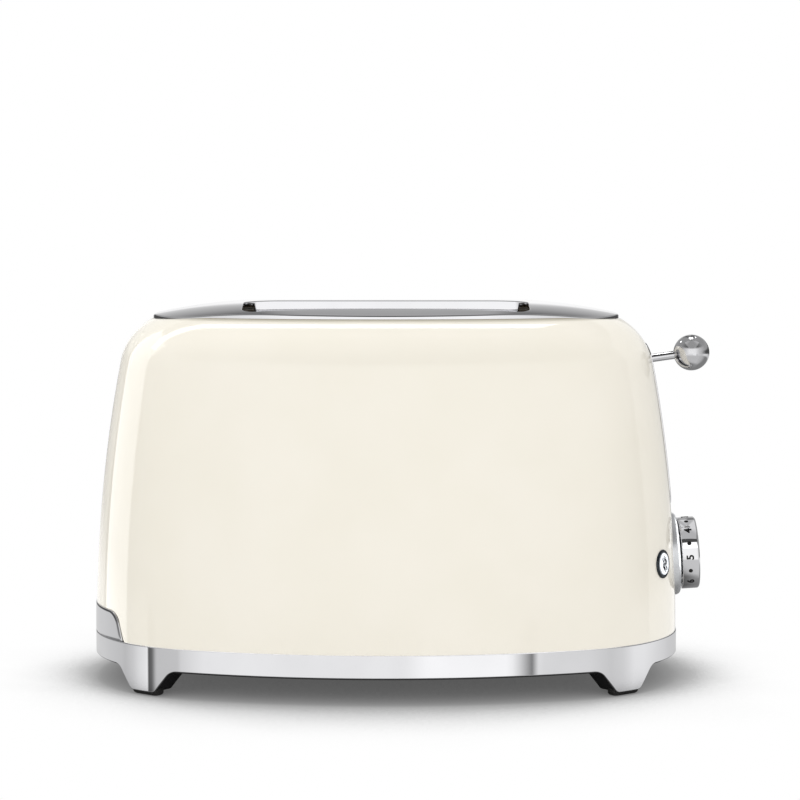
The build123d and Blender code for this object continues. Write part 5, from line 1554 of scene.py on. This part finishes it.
# Studio lamps: name, place, target, width, height, brightness, whether it only shows in reflections,
# and the pieces it lights
BODY = ["enamel_body"]
BALL = ["lever_ball_chrome"]
STEM = ["lever_stem_chrome"]
DIAL = ["chrome_dial"]
BAND = ["chrome_band"]
COLLAR = ["dial_collar_satin", "button_cap_front"]
LAMPS = [
    ("shoulder_strip", (-0.765, 0.42, 1.3), (-0.765, 0.0, 0.15), 2.27, 0.22, 3.6, False, BODY),
    ("corner_strip", (-2.83, 1.25, 0.8), (-0.13, -0.06, 0.1), 1.95, 3.6, 1.55, True, BODY),
    ("left_wall", (-1.49, 2.6, 0.8), (-0.13, -0.06, 0.1), 1.8, 3.6, 0.35, True, BODY),
    ("right_wall", (2.3, 2.0, 0.8), (0.13, -0.06, 0.1), 3.6, 3.6, 0.45, True, BODY),
    ("ball_sky", (0.2, -1.2, 1.7), (0.2, -1.21, 0.17), 2.2, 2.2, 0.24, True, BALL),
    ("ball_lamp", (0.16, 0.45, 1.55), (0.16, 0.0, 0.17), 0.3, 0.3, 7.0, True, BALL + STEM),
    ("ball_spot_left", (-0.75, 0.69, 1.15), (0.16, 0.0, 0.17), 0.1, 0.1, 9.0, True, BALL),
    ("ball_spot_right", (0.61, 0.83, 1.34), (0.16, 0.0, 0.17), 0.08, 0.08, 9.0, True, BALL),
    ("dial_top_lamp", (0.2, 0.25, 1.6), (0.2, 0.24, 0.06), 1.6, 2.9, 0.36, True, DIAL),
    ("dial_front_lamp", (0.3, -1.1, 0.73), (0.16, 0.0, 0.06), 0.9, 0.42, 1.0, True, DIAL),
    ("edge_lamp", (0.0, -0.4, 2.0), (0.0, -0.41, 0.05), 3.0, 2.4, 1.3, True, BAND),
    ("collar_lamp", (1.5, 0.3, 0.3), (0.16, 0.0, 0.06), 2.2, 1.6, 2.0, True, COLLAR),
]


def studio_lamps():
    """Flat lamps that face their targets and light only their pieces: power = 4 * brightness * area."""
    for name, place, target, width, height, brightness, reflection, lit in LAMPS:
        lamp = bpy.data.lights.new(name, "AREA")
        lamp.shape = "RECTANGLE"
        lamp.size = width
        lamp.size_y = height
        lamp.energy = 4 * brightness * width * height
        obj = set_out(name, lamp)
        obj.location = place
        way = Vector(target) - Vector(place)
        obj.rotation_euler = way.to_track_quat("-Z", "Y").to_euler()
        obj.visible_diffuse = not reflection
        receivers = bpy.data.collections.new(name)
        for piece_name in lit:
            receivers.objects.link(bpy.data.objects[piece_name])
        obj.light_linking.receiver_collection = receivers


CAMERA_PLACE = (0.0073, -1.400, 0.2608)
CAMERA_DIP = 4.73
CAMERA_LENS = 119.5
SENSOR_WIDTH = 36.0


def photo_camera():
    """Camera at the photograph's viewing angle, a little above the middle and level across."""
    lens = bpy.data.cameras.new("camera")
    lens.lens = CAMERA_LENS
    lens.sensor_width = SENSOR_WIDTH
    camera = set_out("camera", lens)
    camera.location = CAMERA_PLACE
    camera.rotation_euler = (math.radians(90 - CAMERA_DIP), 0, 0)
    bpy.context.scene.camera = camera


plain_floor()
studio_world()
studio_lamps()
photo_camera()
bpy.context.scene.view_settings.view_transform = "Standard"
